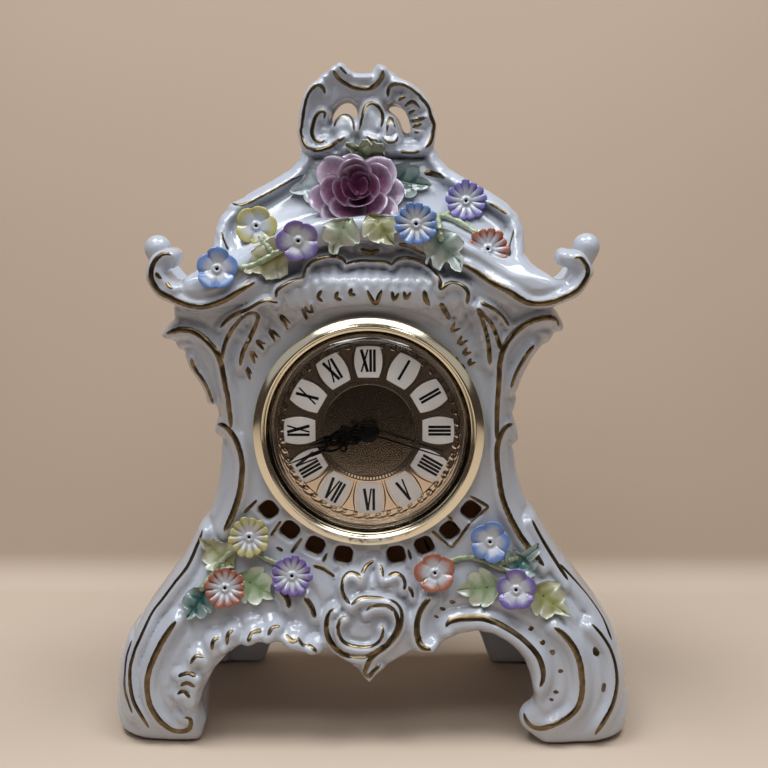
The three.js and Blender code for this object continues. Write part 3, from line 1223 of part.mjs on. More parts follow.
export default clock;
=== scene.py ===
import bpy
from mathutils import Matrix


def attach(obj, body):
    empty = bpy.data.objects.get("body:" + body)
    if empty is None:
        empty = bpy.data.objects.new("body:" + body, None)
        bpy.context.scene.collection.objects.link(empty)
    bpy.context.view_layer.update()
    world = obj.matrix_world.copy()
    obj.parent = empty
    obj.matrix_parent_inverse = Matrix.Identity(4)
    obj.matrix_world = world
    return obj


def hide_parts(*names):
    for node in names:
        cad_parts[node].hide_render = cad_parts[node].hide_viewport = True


bl_info = {
    "name": "Porcelain Mantel Clock",
    "version": (1, 0, 0),
    "blender": (4, 5, 0),
    "location": "View3D > Sidebar > Clock",
    "description": "Builds a rococo porcelain mantel clock over its packed frame",
    "category": "Object",
}

import math

import bpy
import numpy as np
import openvdb
from mathutils import Matrix, Vector
from mathutils.bvhtree import BVHTree

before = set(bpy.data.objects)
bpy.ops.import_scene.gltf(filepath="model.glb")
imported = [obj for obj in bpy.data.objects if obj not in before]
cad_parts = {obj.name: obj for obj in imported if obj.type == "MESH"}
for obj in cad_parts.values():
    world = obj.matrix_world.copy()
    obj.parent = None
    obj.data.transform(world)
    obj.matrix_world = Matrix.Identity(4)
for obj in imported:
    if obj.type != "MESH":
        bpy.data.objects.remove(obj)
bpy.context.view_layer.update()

MM = 0.001
DIAL_Z = 142.3
# The viewer: place, turns, focal length and width of the picture in pixels, and the plane of the sketches
EYE = np.array([21.7, -587.6, 248.7])
PITCH, YAW, ROLL = math.radians(8.90), math.radians(-1.56), math.radians(-0.32)
FOCUS, PICTURE = 1250.0, 768.0
SKETCH_Y = -48.0


def view_axes():
    """The viewer's directions to the side, to the top and ahead."""
    ahead = np.array([math.sin(YAW) * math.cos(PITCH), math.cos(YAW) * math.cos(PITCH), -math.sin(PITCH)])
    level = np.array([math.cos(YAW), -math.sin(YAW), 0.0])
    up = np.cross(level, ahead)
    side = level * math.cos(ROLL) + up * math.sin(ROLL)
    return side, up * math.cos(ROLL) - level * math.sin(ROLL), ahead


def sketched(pixels):
    """Points x, z of the sketch plane that the viewer sees at pixels of the picture, to 0.1 mm."""
    side, top, ahead = view_axes()
    across, down = (np.array(pixels, float).T - PICTURE / 2) / FOCUS
    rays = ahead + np.outer(across, side) - np.outer(down, top)
    points = EYE + rays * ((SKETCH_Y - EYE[1]) / rays[:, 1])[:, None]
    return points[:, [0, 2]].round(1)


# Curves and distances, in millimetres

def curve(points, step=0.0, count=0):
    """Points along a smooth open curve through the given ones."""
    p = np.asarray(points, float)
    if len(p) == 2:
        p = np.array([p[0], p.mean(0), p[1]])
    p = np.vstack([2 * p[0] - p[1], p, 2 * p[-1] - p[-2]])
    out = []
    t = np.linspace(0, 1, 12, endpoint=False)[:, None]
    for a, b, c, d in zip(p, p[1:], p[2:], p[3:]):
        square, cube = 2 * a - 5 * b + 4 * c - d, 3 * b - a - 3 * c + d
        out.append(0.5 * (2 * b + (c - a) * t + square * t**2 + cube * t**3))
    fine = np.vstack(out + [p[-2:-1]])
    run = np.concatenate([[0], np.cumsum(np.linalg.norm(np.diff(fine, axis=0), axis=1))])
    n = count or max(3, int(round(run[-1] / step)) + 1)
    s = np.linspace(0, run[-1], n)
    return np.stack([np.interp(s, run, fine[:, k]) for k in range(fine.shape[1])], 1)


def closed(points, step=1.0):
    """Points along a smooth closed curve through the given ones."""
    return curve([*points, points[0]], step)[:-1]


def table(rows, z):
    """Columns of rows, smoothly interpolated over the first column at the heights z."""
    rows = np.asarray(rows, float)
    key = rows[:, 0]
    i = np.clip(np.searchsorted(key, z, "right") - 1, 0, len(key) - 2)
    h = (key[1:] - key[:-1])[i]
    t = np.clip((z - key[i]) / h, 0, 1)
    out = []
    for k in range(1, rows.shape[1]):
        v = rows[:, k]
        m = np.gradient(v, key)
        a = (1 + 2 * t) * (1 - t) ** 2 * v[i] + t * (1 - t) ** 2 * h * m[i]
        b = t * t * (3 - 2 * t) * v[i + 1] + t * t * (t - 1) * h * m[i + 1]
        out.append((a + b).astype(np.float32))
    return out


def segment_gap(a, b, u, v):
    """Squared distance of the grid u, v from the line between two points."""
    ex, ey = b[0] - a[0], b[1] - a[1]
    t = np.clip(((u - a[0]) * ex + (v - a[1]) * ey) / (ex * ex + ey * ey + 1e-9), 0, 1)
    return (u - a[0] - t * ex) ** 2 + (v - a[1] - t * ey) ** 2


def outline_distance(points, u, v):
    """Distance of the grid u, v from a closed outline, negative inside it."""
    p = np.asarray(points, np.float32)
    u, v = np.broadcast_arrays(u, v)
    best = np.full(u.shape, 1e9, np.float32)
    inside = np.zeros(u.shape, bool)
    for a, b in zip(p, np.roll(p, -1, 0)):
        best = np.minimum(best, segment_gap(a, b, u, v))
        if a[1] != b[1]:
            crossing = (b[0] - a[0]) * (v - a[1]) / (b[1] - a[1]) + a[0]
            inside ^= ((a[1] > v) != (b[1] > v)) & (u < crossing)
    return np.where(inside, -1, 1).astype(np.float32) * np.sqrt(best)


def path_distance(points, u, v):
    """Distance of the grid u, v from an open path."""
    best = np.full(np.broadcast(u, v).shape, 1e9, np.float32)
    for a, b in zip(points, points[1:]):
        best = np.minimum(best, segment_gap(a, b, u, v))
    return np.sqrt(best)


def union(a, b, k):
    """Joins two fields with a fillet of about k."""
    h = np.maximum(k - np.abs(a - b), 0) / k
    return np.minimum(a, b) - h * h * k * 0.25


def overlap(a, b, k):
    """What two fields share, with its edge eased by about k."""
    return -union(-a, -b, k)


def ease(x, start, end):
    """0 at start and 1 at end, smooth between."""
    t = np.clip((x - start) / (end - start), 0, 1)
    return t * t * (3 - 2 * t)


def bell(x, wide):
    """1 where x is 0, falling away over a width to both sides."""
    return np.exp(-((x / wide) ** 2))


def mirror(half):
    """A half outline followed by its mirror image in reverse."""
    return list(half) + [(-x, z) for x, z in reversed(half)]


# The porcelain case as one smooth field

# Levels of the outer walls: height, half-width, front, back, front corner and back corner
BODY = [
    (0, 112.5, -51.5, 55, 17, 12), (3, 116.2, -54, 56.5, 18, 12), (8, 118, -55.4, 58, 20, 12),
    (18, 118.5, -56, 57.5, 22, 12), (30, 117.4, -55.4, 56, 22, 12), (40, 114.4, -54.4, 54, 22, 12),
    (50, 109.2, -53, 52, 21, 12), (60, 102, -51.2, 50, 21, 12), (70, 94.6, -49.4, 47.5, 20, 12),
    (80, 87.6, -46.4, 45, 18, 12), (88, 82.6, -44.2, 43.5, 16, 12), (96, 77.6, -44, 42, 15, 12),
    (106, 72.2, -44, 42, 14, 12), (118, 68.4, -44, 42, 14, 12), (135, 66.4, -44, 42, 14, 12),
    (150, 67.5, -44, 42, 14, 12), (160, 70.8, -44, 42, 15, 12), (168, 75, -44, 42, 15, 12),
    (175, 79.2, -44, 42, 16, 12), (181, 84.8, -44, 42, 16, 12), (185.5, 87.6, -44, 42, 16, 12),
    (189, 87.2, -44, 42, 16, 12), (193, 85.4, -44, 42, 16, 12), (197, 84.4, -44, 42, 16, 12),
    (203, 80, -44, 42, 16, 12), (210, 70, -44, 42, 14, 12), (222, 58, -42, 42, 12, 12),
    (228, 46, -30, 41, 12, 12),
]
# Sideways lean of the hand-built walls, and how much narrower they are at the back, over height
LEAN = [
    (0, 0, 6), (60, 0, 8), (100, 0, 6), (120, -1, 4), (140, -1.5, 3), (155, -2.6, 2), (168, -3.8, 2),
    (180, -4, 2), (190, -2.8, 2), (198, -2.2, 2), (206, -1, 1), (222, 0, 0),
]
# Levels of the hollow inside, in the same order
CHAMBER = [
    (58, 74, -42, 35, 12, 8), (76, 70, -39, 35, 12, 8), (96, 64, -37.5, 35, 12, 8),
    (118, 58, -37.5, 35, 12, 8), (162, 58, -37.5, 35, 12, 8), (199, 58, -37.5, 35, 12, 8),
    (207, 52, -37, 34, 12, 8), (217, 40, -30, 30, 10, 8),
]
# Outlines seen from the front, in x and z; those that start at x = 0 are right halves
HOOD = [
    (0, 227), (20, 225.3), (34, 220.6), (45, 213.6), (54, 207.1), (63, 201.8), (70, 199.4), (78, 199.2),
    (84, 200), (84, 206), (78, 211.5), (72, 215.6), (68.2, 220), (68.8, 226), (68.8, 231), (66.5, 237),
    (62.5, 241.5), (54, 247.2), (45, 252), (36, 257.5), (32, 262), (29, 269), (0, 269),
]
# Hood seen from the side, in y and z
SLOPE = [
    (-49, 197), (-53, 200.5), (-54.5, 206), (-53.5, 211), (-50, 216), (-41.5, 224), (-33.5, 233),
    (-26.5, 244), (-21, 254), (-18, 262), (-16, 270), (4, 270), (8, 262), (21, 256), (33, 246),
    (41, 234), (44, 221), (46, 209), (44, 197),
]
# The lip's roll follows this arch and closes straight over the shell
EAVE_LIP = [(0, 232), (20, 230.3), (34, 225.6), (45, 218.6), (54, 212.1), (63, 206.8), (76, 204.5)]
EAVE_CURL = [(58, 205), (70, 203), (80, 203.3), (88, 206), (91.4, 212), (89.6, 217.4), (85, 219)]
CREST = [
    (-26, 258), (-28, 262), (-31, 267), (-32.3, 274), (-32, 282), (-30, 289.5), (-26, 296),
    (-20, 300.6), (-14.5, 304.4), (-12.2, 305.3), (-9, 301.6), (-4.5, 300), (1, 300), (2.6, 303),
    (4.6, 304.9), (8, 302.6), (12.5, 299), (18, 296.6), (23, 292), (27, 286), (29.3, 278), (29, 272),
    (27.5, 267), (27, 262), (26, 258),
]
CREST_EYES = [
    [(-17.4, 278.4), (-16, 283), (-12.5, 286.6), (-8.6, 287), (-6, 284), (-6, 279.6), (-8, 281.6),
     (-11.6, 282.4), (-15, 280.4)],
    [(8, 284.4), (11, 285.6), (14.6, 284.4), (17.2, 281), (18.6, 276), (17.4, 273.2), (15.2, 275),
     (13.6, 279.4), (11, 282.4)],
]
FRONT_ARCH = [
    (-78, -3), (-77, 4), (-77.4, 11), (-77.2, 18.5), (-75, 26), (-70, 35.5), (-63.5, 42.6), (-57, 46.6),
    (-49, 47.6), (-42.5, 48), (-34, 45.4), (-29, 43), (-24, 43.8), (-19, 43.6), (-12, 40), (-4, 34.5),
    (0, 29.5), (4, 34.5), (12, 40), (19, 43.6), (24, 43.8), (29, 44), (33, 47.6), (40, 51), (48, 52.4),
    (55, 51.2), (61.5, 47.8), (66, 44), (69.5, 39.6), (72, 33), (73.2, 27), (74, 22), (77, 15), (79, 8),
    (79, -3),
]
REAR_ARCH = [(0, 44), (24, 42), (38, 37), (48, 28), (54.5, 16), (61.4, -3), (0, -3)]
UNDERSIDE = [(0, 50), (58, 50), (70, 42), (77, 28), (78, -3), (0, -3)]
# Opening between the front and rear feet seen from the side, in y and z
SIDE_ARCH = [(-26, -3), (-24, 14), (-18, 26), (-8, 34), (6, 37), (20, 34), (31, 26), (38, 14), (42, -3)]
CARTOUCHE = [
    (0, 30), (4, 34.5), (12, 41), (17, 48), (19, 56), (17.5, 64), (13, 68), (15.5, 73), (13, 78.5),
    (8, 79.5), (5, 82), (0, 80),
]
SHELL_ARC = 57.0
# Leaf lobes that hang over the edge of the left arch, as x, z and radius
ARCH_LOBES = [
    (-81.5, 22.5, 6.4), (-80.5, 32, 6.6), (-75.5, 41, 6.8), (-68.6, 48.2, 6.6), (-61.4, 52.4, 6.4),
    (-52.5, 53.4, 7.0), (-43.5, 54, 6.6), (-33, 50.6, 6.2), (-24.5, 47, 5.0),
]

# Upright lobes of the crest, as x, z, half-width and half-height
CREST_LOBES = [(-10.5, 272, 5.2, 9), (0, 274, 5.6, 13), (9.6, 271, 4.6, 9)]
EAVE_LIP_RADIUS, EAVE_CURL_RADIUS = 5.5, 4.3
# Ear on the right of the hood, as points and radii of a tube
EAR, EAR_RADII = [(92, 2, 203), (97, 1, 212), (100.3, 0, 221.3)], (7, 5.4, 6.4)
# Rolled toes of the front feet: points, radii and fillet of each tube
TOES = [
    ([(74.6, -48.6, 11.8), (79, -48.4, 8.4), (86, -48, 8)], (7.2, 7.4, 7.0), 5),
    ([(-80.8, -48.4, 10), (-84, -48.2, 7.5), (-90, -48, 7.6)], (5.4, 6.4, 6.6), 3.5),
]
# Round cuts about the dial's axis: radius, and the depth where each ends
RECESS_RADIUS, RECESS_BACK = 53.2, -44
BORE_RADIUS, BORE_BACK = 49, -30
REAR_HOLE_RADIUS, REAR_HOLE_FRONT = 42, 28
# Pierced squares below the dial: circle of centres, first angle and step in degrees, half side, depth
GALLERY_CIRCLE, GALLERY_FIRST, GALLERY_STEP = 58.2, 11.8, 13.2
GALLERY_HALF, GALLERY_BACK = 4.15, -28
# Heights and depths of the modelled ornament
PANEL_DEPTH, CREST_RIM, CREST_DISH, CREST_LOBE_HEIGHT = 5.0, 1.4, 2.8, 3.2
SHELL_HEIGHT, FLUTE_HEIGHT, FLUTES = 1.3, 0.35, 96
CARTOUCHE_HEIGHT, ARCH_ROLL, ARCH_LOBE_HEIGHT, GALLERY_FRAME = 3.0, 1.6, 3.6, 0.6

# Brush strokes of the gilding: width in millimetres, then pixels listed along each stroke
GILT_PIXELS = {
    "eave": [
        (2.2, [
            (255, 282), (240, 291), (225, 300), (205, 307), (190, 306), (175, 300), (160, 292),
            (152, 281), (151, 271), (154, 262), (160, 255), (166, 253.5), (172, 255),
        ]),
        (2.2, [
            (459, 264), (470, 268), (490, 281), (510, 292), (520, 299), (533, 304), (548, 303),
            (560, 299), (575, 292), (584, 283), (588, 273), (586, 264), (580, 257), (574, 258),
        ]),
        (1.6, [(166, 281), (169, 286), (173, 289)]),
        (1.6, [(156, 272), (158, 276), (162, 279)]),
    ],
    "roof": [
        (1.3, [(303, 175), (290, 181), (270, 192), (250, 202), (238, 205), (232, 203)]),
        (2.6, [(424, 172), (434, 174), (445, 178)]),
        (1.6, [(489, 203), (500, 209), (508, 214)]),
        (1.8, [(221, 232), (224, 240), (228, 250)]),
        (1.8, [(514, 230), (511, 240), (509, 250), (510, 256)]),
        (2.4, [(398, 244), (410, 247), (420, 252), (428, 254)]),
        (2.2, [(360, 249), (370, 252), (380, 250)]),
    ],
    "pilaster": [
        (2.4, [
            (166, 333), (180, 329.5), (192, 331), (203, 337), (212, 346), (218, 355), (222, 368),
            (225, 385), (228, 400), (231, 428),
        ]),
        (2.4, [
            (559, 326), (556, 319), (545, 318), (532, 321), (520, 328), (510, 338), (503, 350),
            (500, 365), (499, 385), (497, 410), (497, 440),
        ]),
        (1.8, [
            (222, 360), (224, 347), (229, 335), (237, 323), (246, 315), (255, 313.5), (258, 317),
            (255, 327), (249, 340), (243, 352), (240, 366),
        ]),
        (1.8, [(477, 308), (484, 315), (492, 325), (497, 337), (501, 350)]),
        (1.8, [(477, 308), (483, 322), (488, 340), (489, 350), (490, 365)]),
        (1.6, [(191, 358), (193, 366), (200, 376), (207, 388), (213, 404)]),
        (1.6, [(534, 345), (525, 358), (517, 372), (511, 388)]),
    ],
    "cove": [
        (1.6, [(220, 328), (228, 319), (238, 313), (247, 309.5), (260, 302), (268, 300), (278, 303)]),
        (1.8, [
            (276, 298), (277, 290), (285, 284), (293, 280), (303, 277), (306, 268), (315, 260),
            (330, 256), (342, 258), (346, 264),
        ]),
        (1.8, [(346, 264), (358, 261), (372, 261), (386, 262), (392, 265)]),
        (1.8, [(392, 265), (398, 259), (410, 258), (424, 263), (434, 271), (440, 281), (440, 290)]),
        (1.8, [(440, 290), (447, 284), (453, 282), (462, 285), (468, 292), (467, 304)]),
        (1.6, [(480, 302), (492, 308), (502, 316), (509, 326)]),
    ],
    "ticks": [
        (1.5, [(250, 380), (247, 368), (252, 374)]),
        (1.5, [(255, 364), (251, 352), (258, 358)]),
        (1.5, [(264, 350), (257, 341), (266, 344)]),
        (1.5, [(275, 342), (270, 330), (281, 338)]),
        (1.5, [(288, 330), (281, 316), (291, 324)]),
        (1.5, [(307, 320), (303, 308), (312, 313), (311, 304)]),
        (1.7, [(322, 290), (318, 297), (323, 302)]),
        (1.7, [(338, 291), (336, 298), (342, 300)]),
        (1.7, [(352, 288), (350, 294), (356, 295)]),
        (1.9, [(367, 290), (371, 298), (376, 305), (379, 296), (382, 290)]),
        (1.7, [(392, 291), (394, 300), (399, 293)]),
        (1.7, [(404, 291), (406, 299), (411, 292)]),
        (2.2, [(424, 290), (426, 300), (430, 306)]),
        (2.2, [(440, 303), (446, 313), (450, 320)]),
        (1.5, [(455, 322), (452, 331), (461, 328)]),
        (1.5, [(462, 335), (459, 344), (468, 340)]),
        (1.5, [(467, 347), (464, 354), (472, 352)]),
        (1.5, [(471, 358), (469, 364), (476, 362)]),
    ],
    "waist": [
        (2.6, [
            (214, 424), (222, 425), (229, 430), (235, 439), (240, 452), (242, 466), (241, 482),
            (239, 495), (235, 508), (229, 522), (224, 531),
        ]),
        (2.6, [
            (513, 424), (505, 428), (499, 440), (497, 455), (499, 475), (502, 495), (507, 510),
            (517, 530), (527, 545), (538, 558), (544, 566),
        ]),
    ],
    "foot": [
        (1.7, [
            (203, 529), (199, 540), (188, 565), (175, 582), (163, 598), (152, 613), (139, 640),
            (134, 652), (130, 668), (130, 685), (133, 700), (139, 712), (149, 728),
        ]),
        (1.2, [(132, 640), (127, 655), (125, 672), (125, 690), (132, 713)]),
        (2.0, [(532, 520), (540, 535), (550, 552), (568, 580)]),
        (1.7, [(560, 564), (575, 580), (590, 598), (603, 618), (612, 640)]),
        (1.8, [
            (592, 624), (602, 635), (611, 650), (616, 667), (617, 685), (613, 704), (605, 720),
            (595, 735),
        ]),
        (2.4, [
            (176, 621), (168, 632), (160, 645), (153, 660), (148, 675), (147, 690), (150, 705),
            (156, 716), (163, 724), (172, 730), (182, 731.5), (189, 729), (191, 723), (189, 718),
            (185, 718),
        ]),
        (2.4, [
            (554, 627), (563, 634), (573, 646), (579, 660), (582, 676), (582, 692), (579, 705),
            (572, 714), (560, 722), (545, 728), (533, 727), (526, 720), (524, 713),
        ]),
        (2.4, [
            (446, 627), (449, 622), (458, 619), (470, 618), (482, 618), (495, 622), (508, 629),
            (520, 637), (531, 647), (539, 658), (543, 670), (543, 680), (540, 687),
        ]),
        (2.6, [(430, 598), (423, 606), (418, 618), (417, 632), (419, 642), (424, 648), (431, 650)]),
    ],
    "scallops": [
        (1.8, [(190, 664), (196, 656), (204, 657)]),
        (1.8, [(178, 676), (188, 673), (196, 676)]),
        (1.8, [(180, 686), (187, 683), (195, 687)]),
        (1.8, [(177, 694), (184, 691), (190, 698)]),
        (1.8, [(212, 650), (213, 641), (219, 637)]),
        (1.8, [(227, 645), (228, 634), (234, 630)]),
        (1.8, [(248, 642), (252, 633), (262, 630)]),
        (1.8, [(268, 636), (272, 628), (280, 626)]),
        (2.0, [(286, 634), (292, 641), (298, 640)]),
        (1.8, [(297, 637), (303, 645), (307, 644)]),
        (1.8, [(308, 644), (315, 650), (318, 656)]),
        (2.2, [(281, 590), (288, 600), (289, 608)]),
        (2.2, [(305, 597), (312, 608), (315, 618)]),
    ],
    "dots": [
        (2.2, [(453, 600), (452, 604)]),
        (2.2, [(443, 607), (442, 611)]),
        (2.0, [(437, 615), (436, 618)]),
        (2.2, [(530, 626), (532, 631)]),
        (2.2, [(541, 640), (544, 645)]),
        (2.2, [(551, 650), (554, 655)]),
        (2.0, [(560, 669), (561, 673)]),
        (2.0, [(556, 690), (556, 694)]),
        (1.8, [(552, 698), (551, 701)]),
        (2.8, [(594, 647), (598, 656)]),
        (2.6, [(604, 683), (603, 692)]),
    ],
    "gallery": [
        (1.3, [(257, 500), (244, 513)]),
        (1.3, [(281, 521), (271, 536)]),
        (1.3, [(302, 538), (291, 553)]),
        (1.3, [(276, 547), (283, 551)]),
        (1.3, [(327, 553), (323, 562)]),
        (1.5, [(313, 565), (324, 569), (335, 577)]),
        (1.3, [(470, 523), (452, 548)]),
        (1.3, [(452, 548), (432, 531)]),
        (1.3, [(489, 507), (470, 523)]),
        (1.3, [(470, 496), (489, 507)]),
        (1.3, [(448, 516), (458, 527)]),
        (1.3, [(424, 539), (430, 551)]),
        (1.3, [(408, 549), (411, 560)]),
    ],
    "cartouche": [
        (2.2, [
            (335, 608), (329, 613), (326, 625), (328, 637), (335, 648), (345, 654), (358, 656),
            (370, 655), (380, 650), (390, 642), (398, 632), (402, 620), (401, 610), (396, 603),
            (388, 599),
        ]),
        (1.5, [
            (346, 616), (340, 620), (338, 630), (342, 640), (350, 645), (362, 647), (372, 646),
            (380, 640), (383, 632), (382, 625),
        ]),
        (1.9, [
            (366, 611), (371, 607), (379, 605), (388, 606), (395, 612), (398, 622), (395, 632),
            (388, 642), (378, 651), (370, 660), (366, 668), (365, 674), (369, 676), (374, 671),
            (381, 664),
        ]),
        (1.7, [(350, 604), (344, 596), (342, 586), (344, 577), (350, 572), (357, 574), (361, 579)]),
        (1.5, [(362, 574), (366, 566), (374, 560)]),
        (1.5, [(381, 565), (383, 577)]),
        (1.6, [(388, 576), (395, 573), (402, 576), (405, 583), (404, 590)]),
        (1.5, [(408, 586), (412, 592), (413, 598)]),
        (1.5, [(351, 605), (360, 598), (370, 597), (384, 598)]),
    ],
    "crest": [
        (1.9, [
            (325, 94), (323, 88), (318, 85), (312, 89), (307, 97), (304, 110), (302, 125), (301, 131),
            (303, 141), (309, 148), (318, 149.5), (328, 147), (338, 141), (345, 137),
        ]),
        (1.4, [
            (324, 119), (325, 113), (321, 111), (316, 116), (313, 125), (312, 133), (315, 140),
            (321, 142), (325, 140),
        ]),
        (1.4, [(334, 127), (337, 120), (343, 115), (349, 116), (353, 122), (354, 131)]),
        (1.5, [
            (359, 130), (362, 117), (365, 107), (370, 103), (375, 104), (381, 110), (383, 118),
            (381, 127),
        ]),
        (1.3, [(387, 132), (388, 122), (391, 117), (393, 122), (396, 129)]),
        (1.3, [(366, 136), (373, 140), (378, 141)]),
        (1.3, [(382, 137), (388, 142), (396, 141), (398, 136)]),
        (1.9, [(333, 70), (338, 78), (346, 84), (356, 88), (368, 89), (376, 85), (382, 77), (383, 70)]),
        (1.6, [(340, 66), (347, 74)]),
        (1.9, [
            (388, 97), (388, 90), (392, 85), (400, 84), (410, 88), (420, 96), (428, 106), (431, 116),
            (434, 124), (433, 135), (430, 143), (425, 148),
        ]),
        (1.5, [(398, 101), (402, 98), (406, 97)]),
        (1.5, [(404, 107), (409, 103), (414, 102), (420, 108)]),
        (1.5, [(408, 114), (415, 110)]),
        (1.5, [(410, 121), (420, 119), (426, 117)]),
        (1.5, [(412, 127), (422, 124)]),
        (1.4, [(414, 132), (419, 132)]),
        (1.9, [(400, 151), (410, 153), (420, 151)]),
    ],
}
# The same strokes on the sketch plane
GILT = {
    group: [(width, sketched(pixels)) for width, pixels in strokes] for group, strokes in GILT_PIXELS.items()
}

# Ridges under the strokes of each group: height and half-width
RIDGES = {
    "eave": (1.6, 3.4), "roof": (0.7, 2.4), "pilaster": (2.6, 3.8), "cove": (2.2, 2.4),
    "ticks": (0.7, 1.8), "waist": (2.4, 4.2), "foot": (2.6, 4.6), "scallops": (2.0, 3.6),
    "dots": (-0.5, 2.0), "gallery": (0.3, 1.2), "cartouche": (2.8, 3.0), "crest": (1.9, 2.4),
}


class Clay:
    """A block of space in which the case is formed, and the grid that samples it."""

    def __init__(self, step):
        self.step = step
        self.low = np.array([-121.0, -61.0, -4.0])
        high = np.array([121.0, 61.0, 309.0])
        count = np.ceil((high - self.low) / step).astype(int) + 1
        axes = [self.low[k] + step * np.arange(count[k]) for k in range(3)]
        self.x = axes[0].astype(np.float32)[:, None, None]
        self.y = axes[1].astype(np.float32)[None, :, None]
        self.z = axes[2].astype(np.float32)[None, None, :]
        self.field = np.full(count, 50, np.float32)
        self.flat_x = self.x[:, 0, :]
        self.flat_z = self.z[:, 0, :]

    def loft(self, rows):
        """Level rounded rectangles whose sizes follow rows such as those of the body."""
        z = self.z[0, 0, :]
        half, front, back, front_r, back_r = table(rows, z)
        aside, taper = table(LEAN, z)
        slope = np.abs(np.gradient(half, z))
        middle, depth = 0.5 * (front + back), 0.5 * (back - front)
        r = np.where(self.y < middle, front_r, back_r)
        ax = np.abs(self.x - aside) - half + taper * ease(self.y, -20, 50) + r
        ay = np.abs(self.y - middle) - depth + r
        outside = np.sqrt(np.maximum(ax, 0) ** 2 + np.maximum(ay, 0) ** 2)
        d = outside + np.minimum(np.maximum(ax, ay), 0) - r
        d = d / np.sqrt(1 + slope * slope)
        low, high = rows[0][0], rows[-1][0]
        return np.maximum(d, np.maximum(low - self.z, self.z - high))

    def across(self, points):
        """Distance from an outline seen from the front."""
        return outline_distance(points, self.flat_x, self.flat_z)[:, None, :]

    def along(self, points):
        """Distance from an outline seen from the side."""
        return outline_distance(points, self.y[0], self.z[0])[None, :, :]

    def part(self, low, high):
        """Slices of the block between two corners."""
        a = np.clip(np.floor((np.asarray(low) - self.low) / self.step).astype(int), 0, None)
        b = np.ceil((np.asarray(high) - self.low) / self.step).astype(int) + 1
        return tuple(slice(i, j) for i, j in zip(a, b))

    def add_tube(self, points, radii, blend):
        """Joins a tube along 3-D points whose radius follows radii."""
        p = np.asarray(points, np.float32)
        r = np.broadcast_to(np.asarray(radii, np.float32), (len(p),))
        pad = r.max() + blend + 2 * self.step
        s = self.part(p.min(0) - pad, p.max(0) + pad)
        x, y, z = self.x[s[0]], self.y[:, s[1]], self.z[:, :, s[2]]
        best = np.full(self.field[s].shape, 1e9, np.float32)
        for a, b, ra, rb in zip(p, p[1:], r, r[1:]):
            e = b - a
            t = ((x - a[0]) * e[0] + (y - a[1]) * e[1] + (z - a[2]) * e[2]) / (e @ e + 1e-9)
            t = np.clip(t, 0, 1)
            d = (x - a[0] - t * e[0]) ** 2 + (y - a[1] - t * e[1]) ** 2 + (z - a[2] - t * e[2]) ** 2
            best = np.minimum(best, np.sqrt(d) - (ra + (rb - ra) * t))
        self.field[s] = union(self.field[s], best, blend)

    def cut(self, shape, blend):
        """Takes a shape away, with its edge eased."""
        self.field[:] = overlap(self.field, -shape, blend)

    def front(self):
        """Depth of the first surface seen from the front, over x and z."""
        solid = self.field < 0
        hit = solid.any(1)
        i = np.clip(solid.argmax(1), 1, None)[:, None, :]
        near = np.take_along_axis(self.field, i - 1, 1)[:, 0]
        far = np.take_along_axis(self.field, i, 1)[:, 0]
        y = self.low[1] + self.step * (i[:, 0] - 1 + near / np.maximum(near - far, 1e-6))
        return np.where(hit, y, 0)

    def sample(self, plane, x, z):
        """Bilinear value of an x-z plane."""
        u = np.clip((np.asarray(x) - self.low[0]) / self.step, 0, plane.shape[0] - 1.001)
        v = np.clip((np.asarray(z) - self.low[2]) / self.step, 0, plane.shape[1] - 1.001)
        i, j = u.astype(int), v.astype(int)
        a, b = u - i, v - j
        left = plane[i, j] * (1 - b) + plane[i, j + 1] * b
        right = plane[i + 1, j] * (1 - b) + plane[i + 1, j + 1] * b
        return left * (1 - a) + right * a

    def seat(self, depth, points):
        """Sketch points carried along the line of sight onto the front surface, as x, y, z."""
        q = np.column_stack([points[:, 0], np.full(len(points), SKETCH_Y), points[:, 1]]) - EYE
        y = np.full(len(points), SKETCH_Y)
        for _ in range(8):
            p = EYE + q * ((y - EYE[1]) / q[:, 1])[:, None]
            y = 0.5 * y + 0.5 * self.sample(depth, p[:, 0], p[:, 2])
        return EYE + q * ((y - EYE[1]) / q[:, 1])[:, None]


